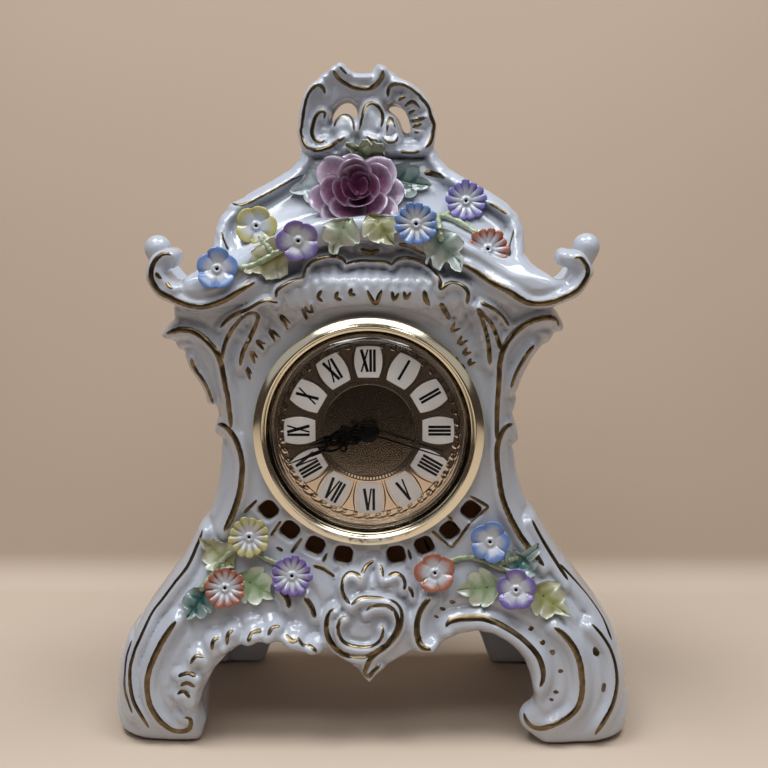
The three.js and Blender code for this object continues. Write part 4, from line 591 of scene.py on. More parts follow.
def relief(clay, depth):
    """Height of the modelled ornament over the plain front, in x and z."""
    x, z = clay.flat_x, clay.flat_z
    ridges = np.zeros((x.shape[0], z.shape[1]), np.float32)
    grooves = np.zeros_like(ridges)
    for group, strokes in GILT.items():
        tall, wide = RIDGES[group]
        for _, points in strokes:
            path = clay.seat(depth, curve(points, 2.0))[:, [0, 2]]
            low, high = path.min(0) - 2 * wide, path.max(0) + 2 * wide
            i = slice(*np.searchsorted(x[:, 0], [low[0], high[0]]))
            j = slice(*np.searchsorted(z[0], [low[1], high[1]]))
            d = path_distance(path, x[i], z[:, j]) / wide
            ridges[i, j] = np.maximum(ridges[i, j], tall * np.clip(1 - d * d, 0, 1) ** 1.3)
            grooves[i, j] = np.maximum(grooves[i, j], 0.4 * tall * bell(d - 1.3, 0.3))
    height = ridges - grooves * ease(ridges, 0.4, 0.0)
    # Sunk panel of the hood inside its roof edge
    roof = outline_distance(mirror(HOOD), x, z)
    lip = path_distance(np.array(mirror(EAVE_LIP)), x, z)
    panel = overlap(roof + 5.5, 6.0 - lip, 2.0)
    height -= PANEL_DEPTH * ease(-panel, -1.2, 2.0) * ease(z, 216, 222)
    # Dished crest with a rolled rim and three upright lobes
    rim = outline_distance(CREST, x, z)
    rolled = CREST_RIM * ease(-rim, 0.4, 2.2) - CREST_DISH * ease(-rim, 3.0, 6.5)
    height += rolled * ease(z, 262, 267)
    for cx, cz, wide, tall in CREST_LOBES:
        d = np.sqrt(((x - cx) / wide) ** 2 + ((z - cz) / tall) ** 2)
        height += CREST_LOBE_HEIGHT * ease(d, 1.05, 0.6) * ease(z, 262, 266)
    # Shell band over the dial, fluted below its scalloped edge
    edge = np.vstack([curve(points, 2.0) for _, points in GILT["cove"]])
    edge = clay.seat(depth, edge)[:, [0, 2]]
    turn = np.linspace(0.62, math.pi - 0.62, 24)
    arc = np.column_stack([SHELL_ARC * np.cos(turn), DIAL_Z + SHELL_ARC * np.sin(turn)])
    shell = outline_distance(np.vstack([edge, arc]), x, z)
    angle = np.arctan2(z - DIAL_Z, x)
    flute = np.cos(angle * FLUTES) * ease(-shell, 0.5, 2) * ease(-shell, 15, 5)
    height += SHELL_HEIGHT * ease(-shell, -0.6, 1.4) + FLUTE_HEIGHT * flute
    # Cartouche on the apron
    boss = outline_distance(mirror(CARTOUCHE), x, z)
    height += CARTOUCHE_HEIGHT * ease(-boss, -1.5, 4.0)
    # Flutes of the scalloped left arch and a rolled edge round the whole opening
    arch = outline_distance(FRONT_ARCH, x, z)
    height += ARCH_ROLL * np.clip(1 - ((arch - 2.8) / 3.2) ** 2, 0, 1) * ease(np.abs(x), 18, 26)
    lobes = np.zeros_like(height)
    for cx, cz, r in ARCH_LOBES:
        d = np.hypot(x - cx, z - cz) / r
        lobes = np.maximum(lobes, ARCH_LOBE_HEIGHT * np.sqrt(np.clip(1 - d * d, 0, 1)))
    height += lobes
    # Frames of the pierced gallery
    for u, v in gallery(x, z):
        d = np.maximum(np.abs(u), np.abs(v)) - GALLERY_HALF
        height += GALLERY_FRAME * np.clip(1 - ((d - 0.9) / 1.0) ** 2, 0, 1)
    return height * ease(z, 1.5, 13)


def gallery(x, z):
    """Local square coordinates of each pierced opening below the dial."""
    for side in (-1, 1):
        for k in range(4):
            a = side * math.radians(GALLERY_FIRST + GALLERY_STEP * k)
            dx, dz = x - GALLERY_CIRCLE * math.sin(a), z - DIAL_Z + GALLERY_CIRCLE * math.cos(a)
            yield dx * math.cos(a) + dz * math.sin(a), dz * math.cos(a) - dx * math.sin(a)


def form_case(step):
    """The case as a signed field: forms joined, ornament raised, then openings cut."""
    clay = Clay(step)
    x, y, z = clay.x, clay.y, clay.z
    clay.field = clay.loft(BODY)
    hood = overlap(clay.across(mirror(HOOD)), clay.along(SLOPE), 7.0)
    for side in (-1, 1):
        path = np.array([(side * a, b) for a, b in EAVE_CURL])
        roll = path_distance(path, clay.flat_x, clay.flat_z) - EAVE_CURL_RADIUS
        hood = union(hood, overlap(roll[:, None, :], np.abs(y + 44) - 9.5, 7.0), 3.0)
    lip = path_distance(np.array(mirror(EAVE_LIP)), clay.flat_x, clay.flat_z) - EAVE_LIP_RADIUS
    hood = union(hood, overlap(lip[:, None, :], np.abs(y + 43) - 10, 5.0), 4.0)
    clay.field = union(clay.field, hood, 9.0)
    crest = clay.across(CREST)
    for eye in CREST_EYES:
        crest = overlap(crest, -clay.across(closed(eye)), 1.5)
    clay.field = union(clay.field, overlap(crest, np.abs(y + 6.5) - 8.5, 5.0), 4.0)
    for side in (-1, 1):
        clay.add_tube([(side * a, b, c) for a, b, c in EAR], EAR_RADII, 4)
    depth = clay.front()
    height = relief(clay, depth)
    fade = np.where(z < 262, ease(y, -6, -20), ease(y, -3, -9))
    clay.field -= height[:, None, :] * fade
    clay.cut(np.maximum(clay.across(FRONT_ARCH), y + 38), 3.0)
    clay.cut(np.maximum(clay.across(mirror(UNDERSIDE)), np.abs(y - 2.25) - 41), 2.0)
    clay.cut(np.maximum(clay.across(mirror(REAR_ARCH)), 42 - y), 3.0)
    clay.cut(clay.along(SIDE_ARCH) + 0 * x, 3.0)
    for points, radii, blend in TOES:
        clay.add_tube(points, radii, blend)
    clay.cut(clay.loft(CHAMBER), 2.0)
    ring = np.sqrt(x * x + (z - DIAL_Z) ** 2)
    clay.cut(np.maximum(ring - RECESS_RADIUS, y - RECESS_BACK), 1.2)
    clay.cut(np.maximum(ring - BORE_RADIUS, y - BORE_BACK), 1.0)
    clay.cut(np.maximum(ring - REAR_HOLE_RADIUS, REAR_HOLE_FRONT - y), 2.5)
    for u, v in gallery(clay.flat_x, clay.flat_z):
        square = np.maximum(np.abs(u), np.abs(v))
        square = np.maximum(square - GALLERY_HALF, 0.72 * (np.abs(u) + np.abs(v)) - 4.75)
        clay.cut(np.maximum(square[:, None, :], y - GALLERY_BACK), 1.2)
    clay.field = overlap(clay.field, -z, 2.2)
    return clay


def chamber_shade(vertices):
    """1 for points on the inner walls of the hollow chamber, which get a painted shade, and 0 for the rest.
    """
    x, y, z = np.asarray(vertices).T
    skin = 1.2
    levels, half, front, back = np.array(CHAMBER, float)[:, :4].T
    inside = np.abs(x) < np.interp(z, levels, half) + skin
    inside &= (y > np.interp(z, levels, front) - skin) & (y < np.interp(z, levels, back) + skin)
    return (inside & (z > levels[0] - skin) & (z < levels[-1] + skin)).astype(float)


# Meshes

def make_mesh(name, vertices, faces, smooth=True):
    """A new object from points in millimetres and its faces."""
    mesh = bpy.data.meshes.new(name)
    places = (np.asarray(vertices, float) * MM).tolist()
    mesh.from_pydata(places, [], [tuple(int(i) for i in f) for f in faces])
    mesh.validate()
    if smooth:
        mesh.polygons.foreach_set("use_smooth", [True] * len(mesh.polygons))
    obj = bpy.data.objects.new(name, mesh)
    bpy.context.scene.collection.objects.link(obj)
    return obj


def make_field_mesh(name, clay):
    """A new object on the zero surface of a field, from quads relaxed a little."""
    grid = openvdb.FloatGrid(9.0)
    grid.copyFromArray(np.clip(clay.field, -4 * clay.step, 4 * clay.step))
    points, quads = grid.convertToQuads(isovalue=0.0)
    points = points.astype(float)
    total = np.zeros_like(points)
    count = np.zeros(len(points))
    for a, b in ((0, 1), (1, 2), (2, 3), (3, 0)):
        np.add.at(total, quads[:, a], points[quads[:, b]])
        np.add.at(total, quads[:, b], points[quads[:, a]])
        np.add.at(count, quads[:, a], 1)
        np.add.at(count, quads[:, b], 1)
    points = 0.5 * points + 0.5 * total / np.maximum(count, 1)[:, None]
    points = points * clay.step + clay.low
    mesh = bpy.data.meshes.new(name)
    mesh.vertices.add(len(points))
    mesh.vertices.foreach_set("co", (points * MM).astype(np.float32).ravel())
    mesh.loops.add(quads.size)
    mesh.loops.foreach_set("vertex_index", quads.astype(np.int32).ravel())
    mesh.polygons.add(len(quads))
    mesh.polygons.foreach_set("loop_start", np.arange(0, quads.size, 4, dtype=np.int32))
    mesh.polygons.foreach_set("use_smooth", np.ones(len(quads), bool))
    mesh.update(calc_edges=True)
    mesh.validate()
    obj = bpy.data.objects.new(name, mesh)
    bpy.context.scene.collection.objects.link(obj)
    return obj


# Shading

class Value:
    """A node socket that can be used in sums and products."""

    def __init__(self, paint, socket):
        self.paint = paint
        self.socket = socket

    def _math(self, kind, *others):
        return self.paint.node("ShaderNodeMath", {"operation": kind}, self, *others)

    def __add__(self, other):
        return self._math("ADD", other)

    def __mul__(self, other):
        return self._math("MULTIPLY", other)

    def __sub__(self, other):
        return self._math("SUBTRACT", other)

    def __rsub__(self, other):
        return self * -1.0 + other

    def ramp(self, low, high):
        """0 below low and 1 above high, eased between."""
        name = {"interpolation_type": "SMOOTHSTEP"}
        return self.paint.node("ShaderNodeMapRange", name, self, low, high, 0.0, 1.0)


class Paint:
    """A material and the nodes that colour it."""

    def __init__(self, name, **constants):
        self.material = bpy.data.materials.new(name)
        self.material.use_nodes = True
        self.tree = self.material.node_tree
        self.shader = self.tree.nodes["Principled BSDF"]
        for key, value in constants.items():
            self.set(key.replace("_", " ").title().replace("Ior", "IOR"), value)

    def node(self, kind, settings, *inputs, out=0):
        """Any node, with its settings, its inputs in order and one of its outputs."""
        node = self.tree.nodes.new(kind)
        for key, value in settings.items():
            setattr(node, key, value)
        sockets = [s for s in node.inputs if s.enabled]
        for socket, value in zip(sockets, inputs):
            if isinstance(value, Value):
                self.tree.links.new(value.socket, socket)
            elif value is not None:
                socket.default_value = value
        outputs = [s for s in node.outputs if s.enabled]
        return Value(self, outputs[out])

    def set(self, name, value):
        socket = self.shader.inputs[name]
        if isinstance(value, Value):
            self.tree.links.new(value.socket, socket)
        else:
            socket.default_value = value

    def place(self):
        return self.node("ShaderNodeTexCoord", {}, out=3)

    def split(self, vector, axis):
        return self.node("ShaderNodeSeparateXYZ", {}, vector, out=axis)

    def attribute(self, name):
        return self.node("ShaderNodeAttribute", {"attribute_name": name}, out=2)

    def noise(self, scale, detail=3.0, vector=None):
        where = vector or self.place()
        return self.node("ShaderNodeTexNoise", {}, where, scale, detail)

    def mix(self, a, b, share):
        settings = {"data_type": "RGBA"}
        return self.node("ShaderNodeMix", settings, share, colour(a), colour(b))

    def bump(self, height, strength=0.3, distance=0.0005):
        self.set("Normal", self.node("ShaderNodeBump", {}, strength, distance, None, height))


def colour(value):
    return value if isinstance(value, Value) or len(value) == 4 else (*value, 1.0)


# Settings

class ClockSettings(bpy.types.PropertyGroup):
    grain: bpy.props.FloatProperty(
        name="Case grain", description="Spacing of the points on the porcelain case",
        default=0.001, min=0.0006, max=0.004, unit="LENGTH", subtype="DISTANCE")
    porcelain: bpy.props.FloatVectorProperty(
        name="Porcelain", description="Colour of the glazed body",
        default=(0.52, 0.55, 0.62), size=3, min=0, max=1, subtype="COLOR")
    gilt: bpy.props.FloatVectorProperty(
        name="Gilding", description="Colour of the painted gold",
        default=(0.19, 0.14, 0.078), size=3, min=0, max=1, subtype="COLOR")
    gilt_width: bpy.props.FloatProperty(
        name="Gilding width", description="Width of the painted lines against the sketched ones",
        default=1.2, min=0.5, max=3.0, subtype="FACTOR")
    flower_radius: bpy.props.FloatProperty(
        name="Flower radius", description="Radius of each small flower head",
        default=0.0091, min=0.005, max=0.012, unit="LENGTH", subtype="DISTANCE")
    rose_radius: bpy.props.FloatProperty(
        name="Rose radius", description="Radius of the large rose",
        default=0.021, min=0.01, max=0.024, unit="LENGTH", subtype="DISTANCE")
    stem_radius: bpy.props.FloatProperty(
        name="Stem radius", description="Radius of the flower stems",
        default=0.0014, min=0.0006, max=0.002, unit="LENGTH", subtype="DISTANCE")
    bezel: bpy.props.FloatVectorProperty(
        name="Bezel", description="Colour of the polished gilt bezel",
        default=(0.95, 0.87, 0.68), size=3, min=0, max=1, subtype="COLOR")
    dial: bpy.props.FloatVectorProperty(
        name="Dial", description="Colour of the mirror-gold dial",
        default=(0.80, 0.65, 0.50), size=3, min=0, max=1, subtype="COLOR")
    floor: bpy.props.FloatVectorProperty(
        name="Floor", description="Colour of the paper under the clock",
        default=(0.63, 0.51, 0.405), size=3, min=0, max=1, subtype="COLOR")
    # The wall colour is the paper painted darker, as shade on its upright part.
    wall: bpy.props.FloatVectorProperty(
        name="Wall", description="Colour of the paper behind the clock",
        default=(0.425, 0.318, 0.235), size=3, min=0, max=1, subtype="COLOR")


def settings():
    return bpy.context.scene.clock_settings


def porcelain_paint():
    paint = Paint("Glazed porcelain", roughness=0.10, coat_weight=0.30, coat_roughness=0.03)
    tone = paint.noise(22.0, 3.0).ramp(0.3, 0.75)
    base = settings().porcelain
    glaze = paint.mix([c * 0.95 for c in base], base, tone)
    # The inner walls of the hollow chamber get a painted brown shade, marked by the tint attribute.
    paint.set("Base Color", paint.mix(glaze, (0.62, 0.45, 0.33), paint.attribute("tint")))
    paint.bump(paint.noise(140.0, 2.0), 0.06, 0.0006)
    return paint.material


def dress(obj, slot, body, *nodes):
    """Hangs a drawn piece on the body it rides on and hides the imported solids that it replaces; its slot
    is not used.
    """
    if nodes:
        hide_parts(*nodes)
    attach(obj, body)


class CLOCK_OT_case(bpy.types.Operator):
    """Form the glazed porcelain case"""

    bl_idname = "clock.case"
    bl_label = "Case"

    def execute(self, context):
        step = settings().grain / MM
        clay = form_case(step)
        case = make_field_mesh("porcelain_case", clay)
        case.data.materials.append(porcelain_paint())
        count = len(case.data.vertices)
        places = np.empty(3 * count)
        case.data.vertices.foreach_get("co", places)
        # Marks the inner walls of the hollow chamber for their painted shade.
        chamber_shade_mark = case.data.attributes.new("tint", "FLOAT", "POINT")
        chamber_shade_mark.data.foreach_set("value", chamber_shade(places.reshape(-1, 3) / MM))
        dress(case, "porcelain", "case", "case_body")
        return {"FINISHED"}


class Surface:
    """The glazed surface of the case, for pieces that lie on it."""

    def __init__(self):
        mesh = bpy.data.objects["porcelain_case"].data
        points = np.empty(3 * len(mesh.vertices), np.float32)
        mesh.vertices.foreach_get("co", points)
        corners = np.empty(len(mesh.loops), np.int32)
        mesh.loops.foreach_get("vertex_index", corners)
        points = points.reshape(-1, 3) / MM
        self.tree = BVHTree.FromPolygons(points.tolist(), corners.reshape(-1, 4).tolist())

    def seen(self, x, z, y=SKETCH_Y):
        """Point and normal that the viewer sees behind x, y, z."""
        aim = Vector((x, y, z)) - Vector(EYE)
        point, normal, _, _ = self.tree.ray_cast(Vector(EYE), aim.normalized())
        return point, normal

    def near(self, point):
        spot, normal, _, _ = self.tree.find_nearest(point)
        return spot, normal


def strips(surface, points):
    """Unbroken runs of a sketched path on the surface, as lists of point and normal."""
    runs, run = [], []
    for x, z in curve(points, 0.8 if len(points) > 2 else 0.3):
        spot, normal = surface.seen(x, z)
        if spot is None or (run and (spot - run[-1][0]).length > 5):
            runs.append(run)
            run = []
        if spot is not None:
            run.append((spot, normal))
    runs.append(run)
    return [r for r in runs if len(r) > 2]


def brush(surface, run, width, lift=0.05, body=0.16):
    """A domed brush stroke along a run on the surface, tapered at both ends."""
    across = np.linspace(-1, 1, 7)
    vertices = []
    last = len(run) - 1
    fullness = 2.2 if (run[-1][0] - run[0][0]).length < 8 else 9
    for i, (spot, normal) in enumerate(run):
        ahead = run[min(i + 1, last)][0] - run[max(i - 1, 0)][0]
        side = ahead.cross(normal).normalized()
        t = i / last
        even = 0.12 + 0.88 * (1 - abs(2 * t - 1) ** fullness) ** 0.6
        half = 0.5 * width * even * (1 + 0.12 * math.sin(5.0 * t + width * 7))
        for s in across:
            place, up = surface.near(spot + side * (s * half))
            vertices.append(place + up * (lift + body * (1 - s * s) * min(1.0, half)))
    return vertices, sheet_faces(len(run), len(across))


class Heap:
    """Vertices and faces gathered from several shapes, with one number kept for each vertex."""

    def __init__(self):
        self.vertices, self.faces, self.tints = [], [], []

    def add(self, vertices, faces, tints=None):
        start = len(self.vertices)
        self.vertices += [tuple(v) for v in vertices]
        self.faces += [tuple(i + start for i in f) for f in faces]
        self.tints += list(tints) if tints is not None else [0.0] * len(vertices)

    def add_plate(self, outline, back, front, bevel):
        """Adds a plate that lies across the dial's axis."""
        vertices, faces = flat_solid(outline, back, front, bevel)
        self.add(at_dial(vertices), faces)

    def add_turned(self, profile, segments):
        """Adds a profile turned about the dial's axis."""
        vertices, faces = turned(profile, segments)
        self.add(at_dial(vertices), flipped(faces))

    def make(self, name, paint, smooth=True):
        obj = make_mesh(name, self.vertices, self.faces, smooth)
        obj.data.attributes.new("tint", "FLOAT", "POINT").data.foreach_set("value", self.tints)
        obj.data.materials.append(paint)
        return obj


def sheet_faces(rows, columns, wrap=False):
    """Quads of a grid of points, row by row; wrap joins the last column to the first."""
    faces = []
    for start in range(0, (rows - 1) * columns, columns):
        for j in range(columns if wrap else columns - 1):
            k = (j + 1) % columns
            faces.append((start + j, start + k, start + columns + k, start + columns + j))
    return faces


def flipped(faces):
    """The faces turned over."""
    return [tuple(reversed(f)) for f in faces]


def thick_faces(rows, columns):
    """Faces of a sheet, of its underside, whose points follow the sheet's, and of the rim between them."""
    n = rows * columns
    faces = sheet_faces(rows, columns)
    faces += [tuple(i + n for i in f) for f in flipped(faces)]
    edge = [i * columns for i in range(rows)]
    edge += [(rows - 1) * columns + j for j in range(1, columns)]
    edge += [i * columns + columns - 1 for i in range(rows - 2, -1, -1)]
    edge += range(columns - 2, -1, -1)
    return faces + [(b, a, a + n, b + n) for a, b in zip(edge, edge[1:])]


def gilt_paint():
    paint = Paint("Burnished gilding", metallic=1.0)
    wear = paint.noise(260.0, 4.0).ramp(0.35, 0.7)
    base = settings().gilt
    worn, bright = [c * 0.72 for c in base], [min(1, c * 1.25) for c in base]
    paint.set("Base Color", paint.mix(worn, bright, wear))
    paint.set("Roughness", paint.noise(90.0, 2.0) * 0.2 + 0.2)
    paint.bump(paint.noise(420.0, 2.0), 0.15, 0.0003)
    return paint.material


class CLOCK_OT_gilding(bpy.types.Operator):
    """Brush the gold lines onto the scrolls"""

    bl_idname = "clock.gilding"
    bl_label = "Gilding"

    def execute(self, context):
        surface = Surface()
        paint = gilt_paint()
        for group, strokes in GILT.items():
            heap = Heap()
            for width, points in strokes:
                for run in strips(surface, points):
                    heap.add(*brush(surface, run, width * settings().gilt_width))
            dress(heap.make("gilding_" + group, paint), "gilt_metal", "case")
        return {"FINISHED"}


# Applied flowers: place on the case seen from the front, petals, turn, tint
FLOWERS = {
    "flower_top_left_blue": (-63.9, -54.5, 215.0, 5, 18, (0.15, 0.27, 0.60)),
    "flower_top_left_yellow": (-49.0, -37.3, 232.7, 5, 4, (0.54, 0.48, 0.17)),
    "flower_top_left_violet": (-30.1, -43.0, 226.3, 5, 40, (0.20, 0.14, 0.38)),
    "flower_top_right_blue": (21.1, -36.9, 233.2, 13, 0, (0.15, 0.27, 0.58)),
    "flower_top_right_lilac": (43.1, -30.6, 243.0, 13, 9, (0.24, 0.20, 0.52)),
    "flower_top_right_orange": (52.0, -46.5, 222.6, 13, 0, (0.40, 0.13, 0.07)),
    "flower_base_left_yellow": (-53.7, -48.0, 95.0, 13, 0, (0.54, 0.49, 0.20)),
    "flower_base_left_orange": (-64.4, -52.6, 72.8, 13, 10, (0.38, 0.13, 0.08)),
    "flower_base_left_violet": (-34.5, -51.1, 78.0, 13, 0, (0.21, 0.14, 0.42)),
    "flower_base_right_orange": (29.3, -50.6, 79.4, 5, 30, (0.40, 0.13, 0.07)),
    "flower_base_right_blue": (53.8, -48.0, 93.0, 5, 0, (0.14, 0.25, 0.58)),
    "flower_base_right_violet": (65.2, -52.8, 72.4, 5, 16, (0.18, 0.12, 0.38)),
}


def turn_to(facing, turn):
    """Rotation that carries +Z to facing, after a turn in degrees about +Z."""
    aim = Vector((0, 0, 1)).rotation_difference(facing)
    return aim.to_matrix() @ Matrix.Rotation(math.radians(turn), 3, "Z")


def upright(facing):
    """Rotation that carries +Z to facing and keeps +X level."""
    across = Vector((0, 0, 1)).cross(facing).normalized()
    return Matrix((across, facing.cross(across), facing)).transposed()


def flower(radius, petals, seed):
    """An open flower that faces +Z, as vertices, faces and tints from the centre out."""
    many = petals > 6
    columns = petals * (10 if many else 24)
    angle = np.linspace(0, 2 * math.pi, columns, endpoint=False)
    lobe = np.abs(np.cos(angle * petals / 2))
    which = np.floor(angle * petals / (2 * math.pi) + 0.5) % petals
    own = np.sin(which * 2.4 + seed) * 0.04
    notch = 0.10 if many else 0.15
    rim = radius * (1 + own) * (1 - notch * (1 - lobe**0.7))
    groove = (1 - lobe) ** 2.5
    rows = []
    tints = []
    for t in np.concatenate([np.linspace(0.05, 0.22, 5), np.linspace(0.28, 1.0, 14)]):
        reach = radius * t + (rim - radius) * t * ease(np.array(t), 0.35, 0.9)
        button = 0.10 * bell(t - 0.15, 0.07) - (0.10 if t < 0.07 else 0.0)
        dish = 0.03 + 0.36 * max(0.0, t - 0.25) ** 1.5 - 1.1 * max(0.0, t - 0.84) ** 2
        swell = 0.06 * math.sin(math.pi * min(1.0, max(0.0, (t - 0.3) / 0.7))) * lobe
        crease = (0.13 if many else 0.11) * groove * ease(np.array(t), 0.35, 0.85)
        height = radius * (button + dish + swell - crease + own * t)
        rows.append(np.column_stack([reach * np.cos(angle), reach * np.sin(angle), height]))
        tints.append(np.full(columns, -1.0) if t < 0.06 else np.clip(t + 0.12 * groove * t, 0, 1))
    edge = rows[-1][:, 2]
    for t, drop in ((1.0, -0.10), (0.93, -0.16), (0.6, -0.30), (0.34, -0.40), (0.3, -0.80)):
        height = edge + drop * radius if t > 0.9 else np.full(columns, (0.2 + drop) * radius)
        rows.append(np.column_stack([rim * t * np.cos(angle), rim * t * np.sin(angle), height]))
        tints.append(np.full(columns, t))
    middle = np.array([[0, 0, rows[0][0, 2] - 0.5]])
    vertices = np.vstack([*rows, middle])
    faces = sheet_faces(len(rows), columns, True)
    faces += [(len(vertices) - 1, (j + 1) % columns, j) for j in range(columns)]
    return vertices, outward(vertices, faces), np.concatenate([*tints, [-1.0]])


# Share of the light that the coloured glazes give back, against the plain colours listed
GLAZE_DEPTH = 0.84


def petal_paint(name, tint, pale=(0.60, 0.62, 0.68), start=0.36, end=0.95):
    """Glaze that runs from a pale heart to a tinted rim, with brushed streaks and a dark pierced eye."""
    paint = Paint(name, roughness=0.14, coat_weight=0.5, coat_roughness=0.05)
    t = paint.attribute("tint")
    streak = paint.noise(420.0, 3.0)
    share = (t + (streak - 0.5) * 0.32).ramp(start, end)
    body = paint.mix([GLAZE_DEPTH * c for c in pale], [GLAZE_DEPTH * c for c in tint], share)
    eye = t.ramp(-0.2, -0.6)
    paint.set("Base Color", paint.mix(body, (0.02, 0.015, 0.01), eye))
    paint.bump(paint.noise(300.0, 2.0), 0.12, 0.0004)
    return paint.material


class CLOCK_OT_flowers(bpy.types.Operator):
    """Set the twelve small flowers"""

    bl_idname = "clock.flowers"
    bl_label = "Flowers"

    def execute(self, context):
        surface = Surface()
        radius = settings().flower_radius / MM
        for k, (name, (x, y, z, petals, turn, tint)) in enumerate(FLOWERS.items()):
            spot, normal = surface.seen(x, z, y)
            towards = (Vector(EYE) - spot).normalized()
            facing = (0.25 * normal + 0.75 * towards).normalized()
            vertices, faces, tints = flower(radius, petals, 1.7 * k)
            place = np.array(turn_to(facing, turn)) @ vertices.T
            vertices = place.T + np.array(spot + towards * 0.42 * radius)
            heap = Heap()
            heap.add(vertices, faces, tints)
            obj = heap.make(name.replace("flower", "bloom"), petal_paint(name + "_glaze", tint))
            dress(obj, "glaze_" + name.split("_")[-1], "case", name)
        return {"FINISHED"}


def outward(vertices, faces):
    """The faces of a shape, turned over if they look into it."""
    p = np.asarray(vertices, float)
    p = p - p.mean(0)
    volume = sum(np.dot(p[f[0]], np.cross(p[a], p[b])) for f in faces for a, b in zip(f[1:], f[2:]))
    return faces if volume > 0 else flipped(faces)


def petal(length, width, lift, cup, tone, seed, rows=14, columns=15):
    """One spoon-shaped rose petal that grows from the origin towards +X, with tints from claw to rim."""
    u = np.sin(np.linspace(0, 1, rows) * math.pi / 2)[:, None]
    v = np.linspace(-1, 1, columns)[None, :]
    tip = np.clip((u - 0.6) / 0.4, 0, 1)
    spread = 0.45 + 0.55 * np.sin(np.clip(u / 0.6, 0, 1) * math.pi / 2)
    belly = spread * np.sqrt(np.clip(1 - tip * tip, 0.002, 1))
    rim = np.sqrt((v * np.sqrt(1 - tip * tip)) ** 2 + tip * tip)
    roll = np.clip((rim - 0.8) / 0.2, 0, 1) ** 2
    wave = 0.03 * length * np.sin(2.6 * v + seed) * tip
    z = lift * u**1.4 + width * (cup * rim**2 * np.sqrt(u) - 0.12 * roll) + wave
    top = np.stack([length * u + 0 * v, width * belly * v, z], -1).reshape(-1, 3)
    under = top - np.array([0, 0, 0.035 * length + 0.35])
    tint = np.tile((tone + 0.24 * u + 0.52 * rim**4).reshape(-1), 2)
    vertices = np.vstack([top, under])
    return vertices, outward(vertices, thick_faces(rows, columns)), tint


# Whorls of the rose: petals, length, width, rise, cup, height of the claw, turn, paleness
WHORLS = [
    (8, 1.02, 0.40, 0.06, 0.26, -0.02, 4, 0.20), (5, 0.77, 0.40, 0.18, 0.34, 0.07, 30, 0.02),
    (4, 0.50, 0.32, 0.26, 0.50, 0.13, 12, -0.10), (3, 0.33, 0.24, 0.30, 0.75, 0.18, 60, -0.20),
    (2, 0.20, 0.17, 0.32, 0.95, 0.22, 20, -0.24),
]
ROSE_X, ROSE_Y, ROSE_Z = -5.0, -34.0, 245.9
# Radius and height of the knob that the petals grow from, as shares of the rose's radius
ROSE_HEART = [(0.01, -0.5), (0.3, -0.45), (0.3, 0.0), (0.14, 0.14), (0.01, 0.16)]


class CLOCK_OT_rose(bpy.types.Operator):
    """Set the large rose on the hood"""

    bl_idname = "clock.rose"
    bl_label = "Rose"

    def execute(self, context):
        surface = Surface()
        radius = settings().rose_radius / MM
        spot, _ = surface.seen(ROSE_X, ROSE_Z, ROSE_Y)
        towards = (Vector(EYE) - spot).normalized()
        facing = (towards + Vector((0.04, 0, 0.36))).normalized()
        heap = Heap()
        for k, (count, length, width, lift, cup, base, start, tone) in enumerate(WHORLS):
            for j in range(count):
                grow = (1 + 0.06 * math.sin(2.3 * j + 1.9 * k)) * radius
                sizes = length * grow, width * grow, lift * grow
                vertices, faces, tints = petal(*sizes, cup, tone, 1.3 * j + k)
                a = math.radians(start + 360.0 * j / count + 6 * math.sin(3.7 * j + k))
                turn = np.array([[math.cos(a), -math.sin(a), 0], [math.sin(a), math.cos(a), 0], [0, 0, 1]])
                vertices = vertices @ turn.T + np.array([0, 0, (base + 0.05 * (j % 2)) * radius])
                heap.add(vertices * np.array([1, 0.94, 1]), faces, tints)
        heart, heart_faces = turned(ROSE_HEART, 20)
        heap.add(heart[:, [0, 2, 1]] * radius, heart_faces)
        place = np.array(upright(facing)) @ np.array(heap.vertices).T
        heap.vertices = [tuple(p) for p in place.T + np.array(spot + towards * 0.22 * radius)]
        paint = petal_paint("Rose glaze", (0.66, 0.56, 0.70), (0.17, 0.04, 0.10), 0.05, 1.02)
        dress(heap.make("rose_bloom", paint), "glaze_rose", "case", "rose")
        return {"FINISHED"}


def turned(profile, segments):
    """Vertices and faces of a profile of radius and depth turned about the Y axis."""
    angle = np.linspace(0, 2 * math.pi, segments, endpoint=False)
    rows = []
    for r, y in profile:
        rows.append(np.column_stack([r * np.cos(angle), np.full(segments, y), r * np.sin(angle)]))
    return np.vstack(rows), sheet_faces(len(profile), segments, True)


